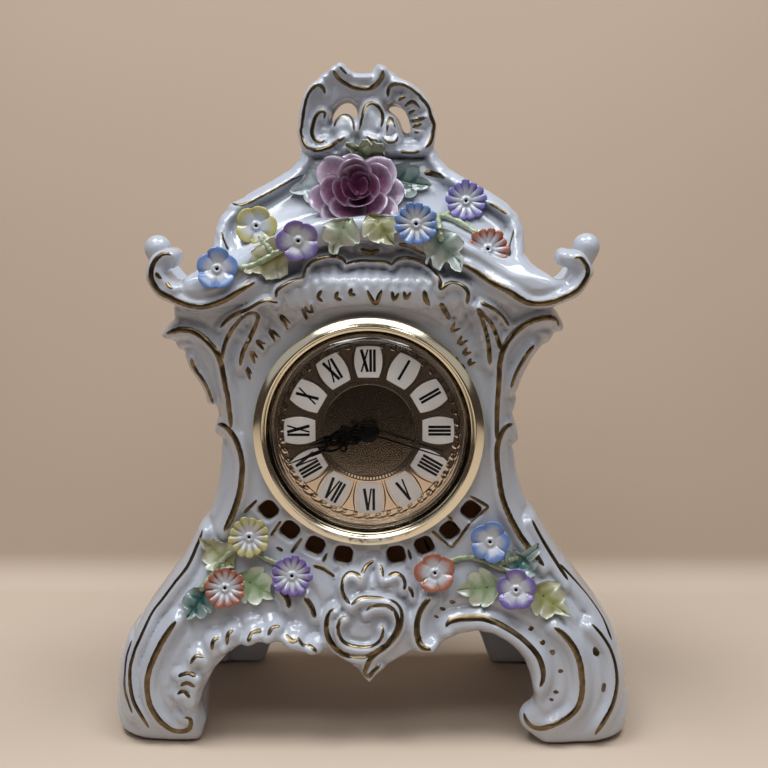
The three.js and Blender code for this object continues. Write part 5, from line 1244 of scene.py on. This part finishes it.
# Leaves: place seen from the front, direction in degrees from +X towards +Z, length, two glaze colours
LEAVES = {
    "leaf_rose_top": (-1.8, -18, 264.0, 150, 19, (0.18, 0.27, 0.10), (0.58, 0.62, 0.46)),
    "leaf_rose_left": (-25.4, -24, 248.6, 195, 20, (0.34, 0.42, 0.44), (0.66, 0.70, 0.70)),
    "leaf_rose_right": (17.6, -22, 250.6, 350, 21, (0.04, 0.09, 0.08), (0.28, 0.34, 0.32)),
    "leaf_rose_low_left": (-12.2, -38, 228.4, 245, 19, (0.36, 0.42, 0.28), (0.66, 0.68, 0.60)),
    "leaf_rose_low_right": (6.4, -36, 231.4, 300, 19, (0.28, 0.28, 0.10), (0.62, 0.62, 0.48)),
    "leaf_top_left": (-43.0, -47, 218.4, 205, 22, (0.32, 0.32, 0.13), (0.66, 0.66, 0.50)),
    "leaf_top_right": (34.0, -43, 222.8, 315, 21, (0.22, 0.32, 0.28), (0.64, 0.70, 0.66)),
    "leaf_base_left_high": (-68.7, -46, 87.6, 140, 19, (0.38, 0.40, 0.20), (0.68, 0.69, 0.56)),
    "leaf_base_left_mid": (-50.0, -50, 72.5, 330, 20, (0.26, 0.38, 0.18), (0.66, 0.70, 0.58)),
    "leaf_base_left_low": (-77.7, -51, 64.6, 235, 17, (0.03, 0.10, 0.10), (0.34, 0.44, 0.42)),
    "leaf_base_right_mid": (48.4, -50, 72.3, 185, 20, (0.28, 0.38, 0.20), (0.66, 0.70, 0.58)),
    "leaf_base_right_high": (68.4, -47, 84.1, 50, 18, (0.08, 0.22, 0.20), (0.48, 0.58, 0.56)),
    "leaf_base_right_low": (80.6, -51, 66.5, 320, 20, (0.34, 0.36, 0.14), (0.66, 0.67, 0.50)),
}


def leaf(surface, spot, along, facing, length, seed):
    """A lobed, veined leaf that hugs the surface round spot and lifts at its rim and tip."""
    rows, columns = 30, 17
    across = facing.cross(along).normalized()
    vertices, tints = [], []
    for i in range(rows):
        u = i / (rows - 1)
        lobes = abs(math.sin(math.pi * (u * 3.6 + 0.15))) ** 0.7
        swell = math.sin(math.pi * min(1, u**0.8))
        half = length * (0.06 + 0.40 * swell * (0.76 + 0.24 * lobes)) * (1 - u**6)
        for j in range(columns):
            v = 2 * j / (columns - 1) - 1
            sweep_back = 0.11 * length * abs(v) ** 1.4 * lobes
            flat = spot + along * (length * (u - 0.5) + sweep_back - 0.08 * length) + across * (half * v)
            place, up = surface.near(flat)
            up = (up + facing).normalized()
            vein = abs(math.sin(math.pi * (u * 3.6 + 0.15 - 0.42 * abs(v)))) ** 6
            ridge = 0.35 * bell(v, 0.09) + 0.22 * vein * (1 - abs(v))
            ripple = 0.6 * math.sin(4 * u + seed) * v + 0.7 * math.sin(15 * u + seed) * v * v
            rise = 1.0 + 1.5 * v * v + 1.2 * u**3 + ripple - ridge
            vertices.append(place + up * rise)
            tone = 0.25 + 0.5 * abs(v) ** 1.5 + 0.25 * u
            tints.append(tone - 0.5 * vein * (1 - abs(v)) - 0.4 * bell(v, 0.1))
    vertices += [p - facing * 1.0 for p in vertices]
    return vertices, outward(vertices, thick_faces(rows, columns)), tints + tints


# Stems of each spray, as paths drawn on the sketch plane
STEMS = {
    "stem_top_left": [
        [(-27, 228), (-38, 222), (-50, 216), (-62, 214)], [(-40, 221), (-46, 228)]],
    "stem_top_right": [
        [(22, 236), (34, 236), (44, 231), (52, 225)], [(33, 236), (40, 242)], [(30, 236), (32, 226)]],
    "stem_base_left": [
        [(-34, 80), (-46, 85), (-56, 91)], [(-55, 93), (-66, 84), (-76, 70)], [(-66, 84), (-65, 75)]],
    "stem_base_right": [
        [(30, 82), (44, 86), (56, 82), (70, 76)], [(50, 86), (54, 92)], [(56, 82), (66, 86)]],
}


def stem(surface, points, radius, sides=8):
    """A stem half sunk in the surface along a sketched path."""
    heap = Heap()
    for run in strips(surface, points):
        last = len(run) - 1
        vertices = []
        for i, (spot, normal) in enumerate(run):
            ahead = (run[min(i + 1, last)][0] - run[max(i - 1, 0)][0]).normalized()
            side = ahead.cross(normal).normalized()
            up = side.cross(ahead)
            knot = 1 + 0.18 * math.sin(i * 0.9) * math.sin(i * 0.37)
            r = radius * knot * (0.55 if i in (0, last) else 1)
            middle = spot + normal * 0.7 * radius
            for k in range(sides):
                a = 2 * math.pi * k / sides
                vertices.append(middle + side * (r * math.cos(a)) + up * (r * math.sin(a)))
        heap.add(vertices, sheet_faces(len(run), sides, True))
        start = len(heap.vertices) - len(vertices)
        heap.faces.append(tuple(range(start, start + sides)))
        end = start + len(vertices) - 1
        heap.faces.append(tuple(range(end, end - sides, -1)))
    return heap


class CLOCK_OT_leaves(bpy.types.Operator):
    """Lay the leaves and their stems"""

    bl_idname = "clock.leaves"
    bl_label = "Leaves and stems"

    def execute(self, context):
        surface = Surface()
        for k, (name, (x, y, z, direction, length, dark, pale)) in enumerate(LEAVES.items()):
            spot, normal = surface.seen(x, z, y)
            facing = (0.7 * normal + 0.3 * (Vector(EYE) - spot).normalized()).normalized()
            a = math.radians(direction)
            along = Vector((math.cos(a), 0, math.sin(a)))
            along = (along - facing * along.dot(facing)).normalized()
            heap = Heap()
            heap.add(*leaf(surface, spot, along, facing, length, 2.1 * k))
            glaze = petal_paint(name + "_glaze", pale, dark, 0.1, 0.95)
            dress(heap.make(name.replace("leaf", "foliage"), glaze), "glaze_green", "case", name)
        paint = petal_paint("Stem glaze", (0.55, 0.60, 0.44), (0.24, 0.32, 0.16), -0.1, 0.1)
        for name, runs in STEMS.items():
            heap = Heap()
            for points in runs:
                one = stem(surface, points, settings().stem_radius / MM)
                heap.add(one.vertices, one.faces)
            dress(heap.make(name.replace("stem", "twig"), paint), "glaze_green", "case", name)
        return {"FINISHED"}


# The clock insert, in radius and depth from the dial's centre

BEZEL_PROFILE = [
    (45.2, -44.4), (51.1, -44.4), (51.5, -44.8), (51.5, -46.4), (51.3, -47.0), (50.9, -47.9), (50.4, -48.1),
    (47.9, -49.45), (47.6, -49.7), (47.2, -49.8), (46.9, -49.6), (46.8, -49.3), (46.6, -48.6), (46.3, -48.3),
    (45.7, -48.2), (45.35, -48.0), (45.2, -47.6), (45.2, -44.4),
]
LENS_PROFILE = [
    (0.02, -51.5), (12, -51.48), (24, -51.4), (33, -51.15), (38, -50.7), (41, -49.9), (43, -48.6),
    (44.1, -46.8), (44.6, -44.8), (44.7, -43.1), (45.3, -43.0), (45.3, -42.4), (43.4, -42.4),
    (43.1, -44.6), (42.5, -46.4), (41.2, -47.9), (39, -48.9), (36, -49.4), (24, -49.8), (12, -49.95),
    (0.02, -50.0),
]
BEZEL_SEGMENTS, LENS_SEGMENTS = 192, 160


def at_dial(vertices):
    """Moves points from the dial's centre to its height on the case."""
    return np.asarray(vertices, float) + np.array([0, 0, DIAL_Z])


def rounded(profile, step=2.0):
    """The profile with its segments cut to about a step."""
    out = []
    for (r, y), (s, z) in zip(profile, profile[1:]):
        n = max(1, int(math.hypot(s - r, z - y) / step))
        out += [(r + (s - r) * k / n, y + (z - y) * k / n) for k in range(n)]
    return out + [profile[-1]]


def metal_paint(name, base, roughness, scale=180.0, streak=(1, 1, 1), grain=0.08):
    """Bare metal with a faint drawn grain and a tone that drifts."""
    paint = Paint(name, metallic=1.0)
    where = paint.node("ShaderNodeVectorMath", {"operation": "MULTIPLY"}, paint.place(), streak)
    drift = paint.noise(scale * 0.2, 3.0, where).ramp(0.3, 0.7)
    paint.set("Base Color", paint.mix([c * 0.9 for c in base], base, drift))
    paint.set("Roughness", paint.noise(scale, 3.0, where) * roughness + roughness * 0.5)
    paint.bump(paint.noise(scale * 3, 2.0, where), grain, 0.0002)
    return paint.material


def plastic_paint(name, base, roughness=0.42, grain=0.12, gloss=0.5):
    """Moulded plastic or paint with a fine grain and a little uneven gloss."""
    paint = Paint(name, specular_ior_level=gloss)
    tone = paint.noise(60.0, 3.0).ramp(0.3, 0.7)
    paint.set("Base Color", paint.mix([c * 0.86 for c in base], base, tone))
    paint.set("Roughness", paint.noise(140.0, 2.0) * 0.2 + (roughness - 0.1))
    paint.bump(paint.noise(900.0, 2.0), grain, 0.0002)
    return paint.material


class CLOCK_OT_bezel(bpy.types.Operator):
    """Turn the gilt bezel and the raised lens"""

    bl_idname = "clock.bezel"
    bl_label = "Bezel and lens"

    def execute(self, context):
        heap = Heap()
        vertices, faces = turned(rounded(BEZEL_PROFILE), BEZEL_SEGMENTS)
        heap.add(at_dial(vertices), faces)
        bezel = heap.make("gilt_bezel", metal_paint("Polished gilt", settings().bezel, 0.14, 60.0))
        smooth_by_angle(bezel, 14)
        dress(bezel, "gilt_metal", "insert", "bezel")
        heap = Heap()
        vertices, faces = turned(LENS_PROFILE, LENS_SEGMENTS)
        last = len(vertices) - LENS_SEGMENTS
        faces.append(tuple(reversed(range(LENS_SEGMENTS))))
        faces.append(tuple(last + j for j in range(LENS_SEGMENTS)))
        # The rise of the lens wall carries a painted dark reflection ring, given as a dark colour and a
        # higher alpha.
        rise = ease(np.hypot(vertices[:, 0], vertices[:, 2]), 42.4, 43.8)
        heap.add(at_dial(vertices), faces, rise)
        glass = Paint("Lens", metallic=1.0, roughness=0.0)
        painted_shoulder_reflection = glass.attribute("tint")
        sheen = glass.node("ShaderNodeLayerWeight", {}, 0.12)
        glass.set("Base Color", glass.mix((0.95, 0.95, 0.94), (0.10, 0.085, 0.07), painted_shoulder_reflection))
        glass.set("Alpha", sheen * 0.8 + painted_shoulder_reflection * 0.45 + glass.noise(30.0) * 0.01)
        dress(heap.make("raised_lens", glass.material), "lens_glass", "insert", "lens")
        return {"FINISHED"}


def smooth_by_angle(obj, degrees):
    """Smooth shading that keeps edges sharper than the angle."""
    mesh = obj.data
    mesh.update()
    hard = set()
    normals = {}
    for face in mesh.polygons:
        for key in face.edge_keys:
            normals.setdefault(key, []).append(face.normal.copy())
    for key, pair in normals.items():
        if len(pair) == 2 and pair[0].angle(pair[1], 0) > math.radians(degrees):
            hard.add(key)
    sharp = mesh.attributes.new("sharp_edge", "BOOLEAN", "EDGE")
    sharp.data.foreach_set("value", [tuple(sorted(e.vertices)) in hard for e in mesh.edges])


def flat_solid(points, back, front, bevel):
    """A plate between two depths from a closed outline of x, z, with an eased front edge."""
    p = np.asarray(points, float)
    n = len(p)
    ahead = np.roll(p, -1, 0) - np.roll(p, 1, 0)
    normal = np.column_stack([ahead[:, 1], -ahead[:, 0]])
    normal /= np.maximum(np.linalg.norm(normal, axis=1), 1e-9)[:, None]
    area = np.sum(p[:, 0] * np.roll(p[:, 1], -1) - np.roll(p[:, 0], -1) * p[:, 1])
    inward = normal * (-bevel if area > 0 else bevel)
    rings = [(p, back), (p, front + bevel)]
    rings += [(p + inward * 0.3, front + bevel * 0.3), (p + inward, front)]
    vertices = np.vstack([np.column_stack([q[:, 0], np.full(n, y), q[:, 1]]) for q, y in rings])
    faces = sheet_faces(len(rings), n, True)
    faces.append(tuple(range(n)))
    faces.append(tuple(3 * n + k for k in reversed(range(n))))
    return vertices, faces if area < 0 else flipped(faces)


def stroke_outline(points, widths):
    """Closed outline of a line of varying width."""
    p = np.asarray(points, float)
    ahead = np.gradient(p, axis=0)
    side = np.column_stack([-ahead[:, 1], ahead[:, 0]])
    side /= np.maximum(np.linalg.norm(side, axis=1), 1e-9)[:, None]
    half = np.asarray(widths, float)[:, None] / 2
    return np.vstack([p + side * half, (p - side * half)[::-1]])


def at_bearing(points, bearing):
    """Turns points of side and reach to a clock bearing in degrees."""
    a = math.radians(bearing)
    x, z = np.asarray(points, float).T
    return np.column_stack([x * math.cos(a) + z * math.sin(a), -x * math.sin(a) + z * math.cos(a)])


# The dial: depth of its face and rim, sizes of the plaques, and width, foot and head of the letters
FACE_Y, RIM_Y = -42.0, -41.25
PLAQUE_OUTER, PLAQUE_INNER = 37.4, 23.8
NUMERALS = ["XII", "I", "II", "III", "IIII", "V", "VI", "VII", "VIII", "IX", "X", "XI"]
LETTER_WIDTH = {"I": 1.66, "V": 3.9, "X": 3.7}
LETTER_FOOT, LETTER_HEAD = 26.4, 36.4
HOUR_ANGLE = 30
DIAL_COLUMNS = 480
STIPPLE_RADIUS = 20.8
# Pressed border: radii, repeats round the dial and height
BORDER_INNER, BORDER_OUTER, BORDER_REPEATS, BORDER_HEIGHT = 37.4, 41.6, 48, 0.06
# Beaded ring: radii of its two lines, and radii, count and half angle of the bars between them
BEAD_LINES = (21.05, 22.75)
BEAD_INNER, BEAD_OUTER, BEADS, BEAD_HALF = 21.25, 22.55, 96, 0.012


def plaque(grow=0.0):
    """Barrel outline of a numeral's plaque in tangent and radius."""
    t = np.linspace(0, 1, 14)
    radius = PLAQUE_INNER - grow + (PLAQUE_OUTER - PLAQUE_INNER + 2 * grow) * t
    half = 4.55 + 0.6 * t + 1.35 * np.sin(math.pi * t) ** 0.9 + grow
    right = np.column_stack([half, radius])
    arc = np.linspace(half[-1], -half[-1], 9)[1:-1]
    bow = 0.5 * (1 - (arc / half[-1]) ** 2)
    top = np.column_stack([arc, radius[-1] + bow])
    left = np.column_stack([-half[::-1], radius[::-1]])
    return np.vstack([right, top, left])


def letter(kind, x):
    """Outlines of one letter of a numeral, from its left edge."""
    w = LETTER_WIDTH[kind]
    if kind == "I":
        bars = [(x + w / 2, x + w / 2, 1.2)]
    elif kind == "V":
        bars = [(x + 0.5, x + w * 0.54, 1.3), (x + w - 0.3, x + w * 0.54, 0.75)]
    else:
        bars = [(x + 0.4, x + w - 0.5, 1.35), (x + w - 0.4, x + 0.4, 0.75)]
    return [stroke_outline([(a, LETTER_HEAD), (b, LETTER_FOOT)], [wide, wide]) for a, b, wide in bars]


def border_lift(radius, angle):
    """Height of the bows and leaves pressed into the dial's border."""
    a = (angle * BORDER_REPEATS / (2 * math.pi)) % 1.0
    b = (radius - BORDER_INNER) / (BORDER_OUTER - BORDER_INNER)
    if not 0 < b < 1:
        return np.zeros(len(angle))
    bow = np.hypot((a - 0.2) * 1.15, b - 0.42)
    spray = b - 0.2 - 0.55 * a**0.6
    lift = np.minimum(BORDER_HEIGHT * (bell(bow - 0.3, 0.09) + bell(spray, 0.09)), BORDER_HEIGHT)
    return lift + 0.03 * (bell(b - 0.06, 0.05) + bell(b - 0.94, 0.05))


def dial_gold():
    """Mirror gold that is stippled in the middle, where its colour is darkened as a painted reflection, and
    darker on the pressed border.
    """
    gold = Paint("Mirror gold", metallic=1.0)
    mark = gold.attribute("tint")
    stipple_and_reflection = mark.ramp(-0.2, -0.8)
    base = settings().dial
    drift = gold.noise(35.0, 4.0).ramp(0.3, 0.7)
    bright = gold.mix([c * 0.93 for c in base], base, drift)
    bright = gold.mix(bright, [c * 0.4 for c in base], mark.ramp(0.2, 0.9))
    # The stippled middle is darkened in colour as a painted reflection of the dim room; its roughness and
    # bump are the real stipple.
    gold.set("Base Color", gold.mix(bright, [c * 0.30 for c in base], stipple_and_reflection))
    gold.set("Roughness", stipple_and_reflection * (gold.noise(800.0, 2.0) * 0.12 + 0.03) + 0.045)
    gold.bump(gold.noise(1500.0, 2.0) * stipple_and_reflection, 0.14, 0.0003)
    return gold.material


def dial_face():
    """The gold plate with its pressed border and turned edge."""
    angle = np.linspace(0, 2 * math.pi, DIAL_COLUMNS, endpoint=False)
    radii = [2.4, *np.linspace(4, 20.6, 5), 20.9, 22.9, *np.linspace(23.4, 37.2, 5)]
    radii += [*np.linspace(BORDER_INNER, BORDER_OUTER, 19), 42, 43, 45.3, 45.3]
    rows, marks = [], []
    for k, r in enumerate(radii):
        lift = border_lift(r, angle)
        y = (RIM_Y if k == len(radii) - 1 else FACE_Y) - lift
        rows.append(np.column_stack([r * np.sin(angle), y, r * np.cos(angle)]))
        marks.append(np.full(DIAL_COLUMNS, -1.0) if r < STIPPLE_RADIUS else lift / BORDER_HEIGHT)
    heap = Heap()
    faces = flipped(sheet_faces(len(rows), DIAL_COLUMNS, True))
    heap.add(at_dial(np.vstack(rows)), faces, np.concatenate(marks))
    return heap.make("dial_face", dial_gold())


def dial_print():
    """The white plaques, the black numerals and the dark lines of the dial."""
    white, black, lines = Heap(), Heap(), Heap()
    for hour, numeral in enumerate(NUMERALS):
        bearing = HOUR_ANGLE * hour
        white.add_plate(at_bearing(plaque(), bearing), FACE_Y, FACE_Y - 0.42, 0.22)
        x = -sum(LETTER_WIDTH[c] for c in numeral) / 2
        for c in numeral:
            for shape in letter(c, x):
                if 3 < hour < 9:
                    shape = np.array([0, LETTER_FOOT + LETTER_HEAD]) - shape
                black.add_plate(at_bearing(shape, bearing), FACE_Y - 0.4, FACE_Y - 0.47, 0.02)
            x += LETTER_WIDTH[c]
        for side in (-1, 1):
            edge = plaque(0.9)[:14] * np.array([side, 1])
            line = stroke_outline(edge, 0.18 + 0.42 * np.sin(np.linspace(0, math.pi, 14)))
            lines.add_plate(at_bearing(line, bearing), FACE_Y, FACE_Y - 0.10, 0.04)
    for ring in BEAD_LINES:
        profile = [(ring - 0.24, FACE_Y), (ring - 0.2, FACE_Y - 0.16)]
        profile += [(ring + 0.2, FACE_Y - 0.16), (ring + 0.24, FACE_Y)]
        lines.add_turned(profile, 160)
    inner, outer = (BEAD_INNER, BEAD_INNER), (BEAD_OUTER, BEAD_OUTER)
    corners = list(zip(inner + outer, (-BEAD_HALF, BEAD_HALF, BEAD_HALF, -BEAD_HALF)))
    for k in range(BEADS):
        a = 2 * math.pi * k / BEADS
        outline = [(math.sin(a + d) * r, math.cos(a + d) * r) for r, d in corners]
        lines.add_plate(outline, FACE_Y, FACE_Y - 0.14, 0.05)
    return white, black, lines


class CLOCK_OT_dial(bpy.types.Operator):
    """Press the gold dial and print its plaques and numerals"""

    bl_idname = "clock.dial"
    bl_label = "Dial"

    def execute(self, context):
        dress(dial_face(), "dial_gold", "insert", "dial_plate")
        white, black, lines = dial_print()
        enamel = plastic_paint("Plaque enamel", (0.95, 0.93, 0.93), 0.3, 0.05)
        dress(white.make("numeral_plaques", enamel, False), "white_plastic", "insert")
        ink = plastic_paint("Numeral ink", (0.004, 0.004, 0.004), 0.4, 0.05, 0.2)
        dress(black.make("numerals", ink, False), "black_paint", "insert")
        brown = plastic_paint("Line ink", (0.03, 0.022, 0.015), 0.4, 0.05)
        dress(lines.make("dial_lines", brown, False), "black_paint", "insert")
        return {"FINISHED"}


# Hands: bearing in degrees, depth of the back, radius of the boss and how far it stands forward
HANDS = {
    "hour_hand": (257.4, -45.6, 4.8, 0.55),
    "minute_hand": (248.3, -46.9, 4.4, 0.55),
    "second_hand": (107.9, -48.2, 3.6, 0.9),
}
HAND_THICKNESS = 0.5


def serpentine(length, loop, boss):
    """Outlines of a pierced hand: two strands that cross, side curls and a needle."""
    s = np.linspace(0, 1, 40)
    shapes = []
    reach = boss - 0.6 + (loop - boss + 0.6) * s
    swing = np.sin(2.0 * math.pi * s**0.9) * (2.5 - 1.0 * s)
    for side in (-1, 1):
        shapes.append(stroke_outline(np.column_stack([side * swing, reach]), 1.3 - 0.1 * s))
        turn = np.linspace(-0.6 * math.pi, 1.15 * math.pi, 24)
        centre = boss + 0.52 * (loop - boss)
        curl = np.column_stack([side * (2.35 + 1.25 * np.cos(turn)), centre + 1.25 * np.sin(turn)])
        shapes.append(stroke_outline(curl, np.linspace(1.2, 0.8, 24)))
    needle = np.column_stack([0 * s, loop - 1.0 + (length - loop + 1.0) * s])
    swell = 0.6 + 0.6 * np.sin(math.pi * np.clip(s * 1.6, 0, 1))
    shapes.append(stroke_outline(needle, 1.45 * (1 - s) ** 0.7 * swell + 0.32))
    return shapes


def baton(tail, length):
    """Outline of a plain hand that tapers from its tail."""
    reach = np.linspace(-tail, length, 12)
    return stroke_outline(np.column_stack([np.zeros(12), reach]), np.linspace(1.25, 0.45, 12))


class CLOCK_OT_hands(bpy.types.Operator):
    """Cut the black hands and set them at their hours"""

    bl_idname = "clock.hands"
    bl_label = "Hands"

    def execute(self, context):
        paint = plastic_paint("Hand lacquer", (0.003, 0.003, 0.003), 0.30, 0.03, 0.15)
        outlines = {
            "hour_hand": serpentine(29.0, 17.5, 4.0),
            "minute_hand": serpentine(38.6, 21.5, 3.6),
            "second_hand": [baton(9, 35.8)],
        }
        for name, (bearing, back, boss, crown) in HANDS.items():
            heap = Heap()
            front = back - HAND_THICKNESS
            for shape in outlines[name]:
                heap.add_plate(at_bearing(shape, bearing), back, front, 0.12)
            profile = [(0.05, back), (boss, back), (boss, back - 0.35), (boss - 0.25, front)]
            profile += [(0.6 * boss, back - crown), (0.05, back - crown)]
            heap.add_turned(profile, 48)
            dress(heap.make(name + "_blade", paint, False), "black_paint", name, name)
        return {"FINISHED"}


def drawn_node(name, paint, width=0.00012):
    """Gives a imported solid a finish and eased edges."""
    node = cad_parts[name]
    node.data.materials.clear()
    node.data.materials.append(paint)
    bevel = node.modifiers.new("Eased edges", "BEVEL")
    bevel.width = width
    bevel.segments = 2
    bevel.limit_method = "ANGLE"
    bevel.angle_limit = math.radians(40)


class CLOCK_OT_movement(bpy.types.Operator):
    """Finish the cup, the movement and its wheels"""

    bl_idname = "clock.movement"
    bl_label = "Movement"

    def execute(self, context):
        steel = ["stator", "quartz_crystal", "contact_positive", "contact_negative"]
        moulded = ["movement_case", "movement_back_cover", "set_knob"]
        wheels = ["hour", "minute", "centre", "third", "seconds", "intermediate"]
        finish = {
            metal_paint("Cup brass", (0.62, 0.50, 0.28), 0.22): ["insert_cup"],
            metal_paint("Turned brass", (0.70, 0.55, 0.28), 0.18): ["dial_nut"],
            metal_paint("Bright steel", (0.62, 0.62, 0.63), 0.2): steel,
            metal_paint("Magnet steel", (0.22, 0.22, 0.24), 0.3): ["rotor"],
            metal_paint("Enamelled copper", (0.62, 0.26, 0.12), 0.26, 700.0, (1, 12, 1)): ["coil"],
            plastic_paint("Band rubber", (0.03, 0.03, 0.032), 0.7, 0.3): ["gasket"],
            plastic_paint("Black moulding", (0.02, 0.02, 0.022), 0.48, 0.25): moulded,
            plastic_paint("White acetal", (0.72, 0.71, 0.66), 0.4): [w + "_wheel" for w in wheels],
            plastic_paint("Circuit board", (0.05, 0.16, 0.07), 0.4): ["circuit_board"],
            plastic_paint("Cell wrap", (0.10, 0.11, 0.13), 0.3): ["battery"],
        }
        for paint, names in finish.items():
            for name in names:
                drawn_node(name, paint)
        return {"FINISHED"}


class CLOCK_OT_stage(bpy.types.Operator):
    """Set the paper sweep, the lights and the camera"""

    bl_idname = "clock.stage"
    bl_label = "Stage"

    def execute(self, context):
        scene = context.scene
        scene.view_settings.view_transform = "Standard"
        sweep()
        lights()
        scene.camera = camera()
        return {"FINISHED"}


# Paper: front edge, where it starts to bend, radius and degrees of the bend, and half-width
PAPER_FRONT, PAPER_BACK, PAPER_BEND, PAPER_TURN, PAPER_HALF = -575, 158, 32, 64, 1500


def sweep():
    """A pale paper sweep whose wall leans away behind the clock and is clear when seen from behind."""
    turn = np.linspace(0, math.radians(PAPER_TURN), 14)
    line = [(PAPER_FRONT, 0), (0, 0), (PAPER_BACK, 0)]
    for a in turn[1:]:
        line.append((PAPER_BACK + PAPER_BEND * math.sin(a), PAPER_BEND - PAPER_BEND * math.cos(a)))
    line.append((line[-1][0] + 240, line[-1][1] + 492))
    points = [(x, y, z) for y, z in line for x in (-PAPER_HALF, PAPER_HALF)]
    faces = [(2 * i, 2 * i + 1, 2 * i + 3, 2 * i + 2) for i in range(len(line) - 1)]
    paper = make_mesh("paper_sweep", points, faces)
    paint = Paint("Paper", roughness=0.75)
    low, high = settings().floor, settings().wall
    tone = paint.noise(3.0, 2.0).ramp(0.3, 0.7) * 0.04 + 0.96
    height = paint.split(paint.place(), 2).ramp(0.0, 0.02)
    # The upright part of the paper takes the darker wall colour, which is painted shade.
    shade = paint.mix(low, high, height)
    paint.set("Base Color", paint.mix((0, 0, 0), shade, tone))
    behind = paint.node("ShaderNodeNewGeometry", {}, out=6)
    paint.set("Alpha", 1.0 - behind)
    paper.data.materials.append(paint.material)


# Lamps: place and aim in metres, size, power and colour
LAMPS = {
    "Left lamp": ((-0.33, -0.24, 1.15), (0, 0, 0.1), (0.58, 0.42), 8.0, (0.93, 0.97, 1.0)),
    "Right lamp": ((0.35, -0.20, 1.15), (0, 0, 0.1), (0.58, 0.42), 6.2, (0.93, 0.97, 1.0)),
    "Front strip": ((-0.03, -0.92, 1.15), (0, 0, 0.15), (1.3, 0.34), 4.0, (0.97, 0.98, 1.0)),
    "Left fill": ((-0.95, -0.75, 0.80), (0, 0, 0.15), (0.6, 0.8), 0.5, (0.94, 0.97, 1.0)),
    "Right fill": ((0.95, -0.70, 0.80), (0, 0, 0.15), (0.6, 0.8), 0.5, (1.0, 0.98, 0.95)),
}
ROOM_COLOUR = (0.042, 0.034, 0.029, 1)


def lights():
    """Hangs the lamps and fills the room with a dim warm light."""
    for name, (place, aim, size, power, tint) in LAMPS.items():
        data = bpy.data.lights.new(name, "AREA")
        data.shape = "RECTANGLE"
        data.size, data.size_y = size
        data.energy = power
        data.color = tint
        obj = bpy.data.objects.new(name, data)
        obj.location = place
        obj.rotation_euler = (Vector(aim) - Vector(place)).to_track_quat("-Z", "Y").to_euler()
        bpy.context.scene.collection.objects.link(obj)
    world = bpy.data.worlds.new("Room")
    world.use_nodes = True
    world.node_tree.nodes["Background"].inputs[0].default_value = ROOM_COLOUR
    bpy.context.scene.world = world


def camera():
    """The viewer's camera."""
    data = bpy.data.cameras.new("Camera")
    data.sensor_width = 36.0
    data.lens = data.sensor_width * FOCUS / PICTURE
    data.clip_start = 0.01
    obj = bpy.data.objects.new("Camera", data)
    side, top, ahead = (Vector(axis) for axis in view_axes())
    turn = Matrix((side, top, -ahead)).transposed().to_4x4()
    obj.matrix_world = Matrix.Translation(Vector(EYE) * MM) @ turn
    bpy.context.scene.collection.objects.link(obj)
    return obj


class CLOCK_PT_panel(bpy.types.Panel):
    bl_label = "Porcelain clock"
    bl_idname = "CLOCK_PT_panel"
    bl_space_type = "VIEW_3D"
    bl_region_type = "UI"
    bl_category = "Clock"

    def draw(self, context):
        for name in ClockSettings.__annotations__:
            self.layout.prop(context.scene.clock_settings, name)
        for operator in OPERATORS:
            self.layout.operator(operator.bl_idname)


OPERATORS = (
    CLOCK_OT_case, CLOCK_OT_gilding, CLOCK_OT_flowers, CLOCK_OT_rose, CLOCK_OT_leaves,
    CLOCK_OT_bezel, CLOCK_OT_dial, CLOCK_OT_hands, CLOCK_OT_movement, CLOCK_OT_stage,
)
CLASSES = (ClockSettings, *OPERATORS, CLOCK_PT_panel)


def register():
    for cls in CLASSES:
        bpy.utils.register_class(cls)
    bpy.types.Scene.clock_settings = bpy.props.PointerProperty(type=ClockSettings)


def unregister():
    del bpy.types.Scene.clock_settings
    for cls in reversed(CLASSES):
        bpy.utils.unregister_class(cls)


def main():
    register()
    bpy.ops.clock.case()
    bpy.ops.clock.gilding()
    bpy.ops.clock.flowers()
    bpy.ops.clock.rose()
    bpy.ops.clock.leaves()
    bpy.ops.clock.bezel()
    bpy.ops.clock.dial()
    bpy.ops.clock.hands()
    bpy.ops.clock.movement()
    bpy.ops.clock.stage()


if __name__ == "__main__":
    main()
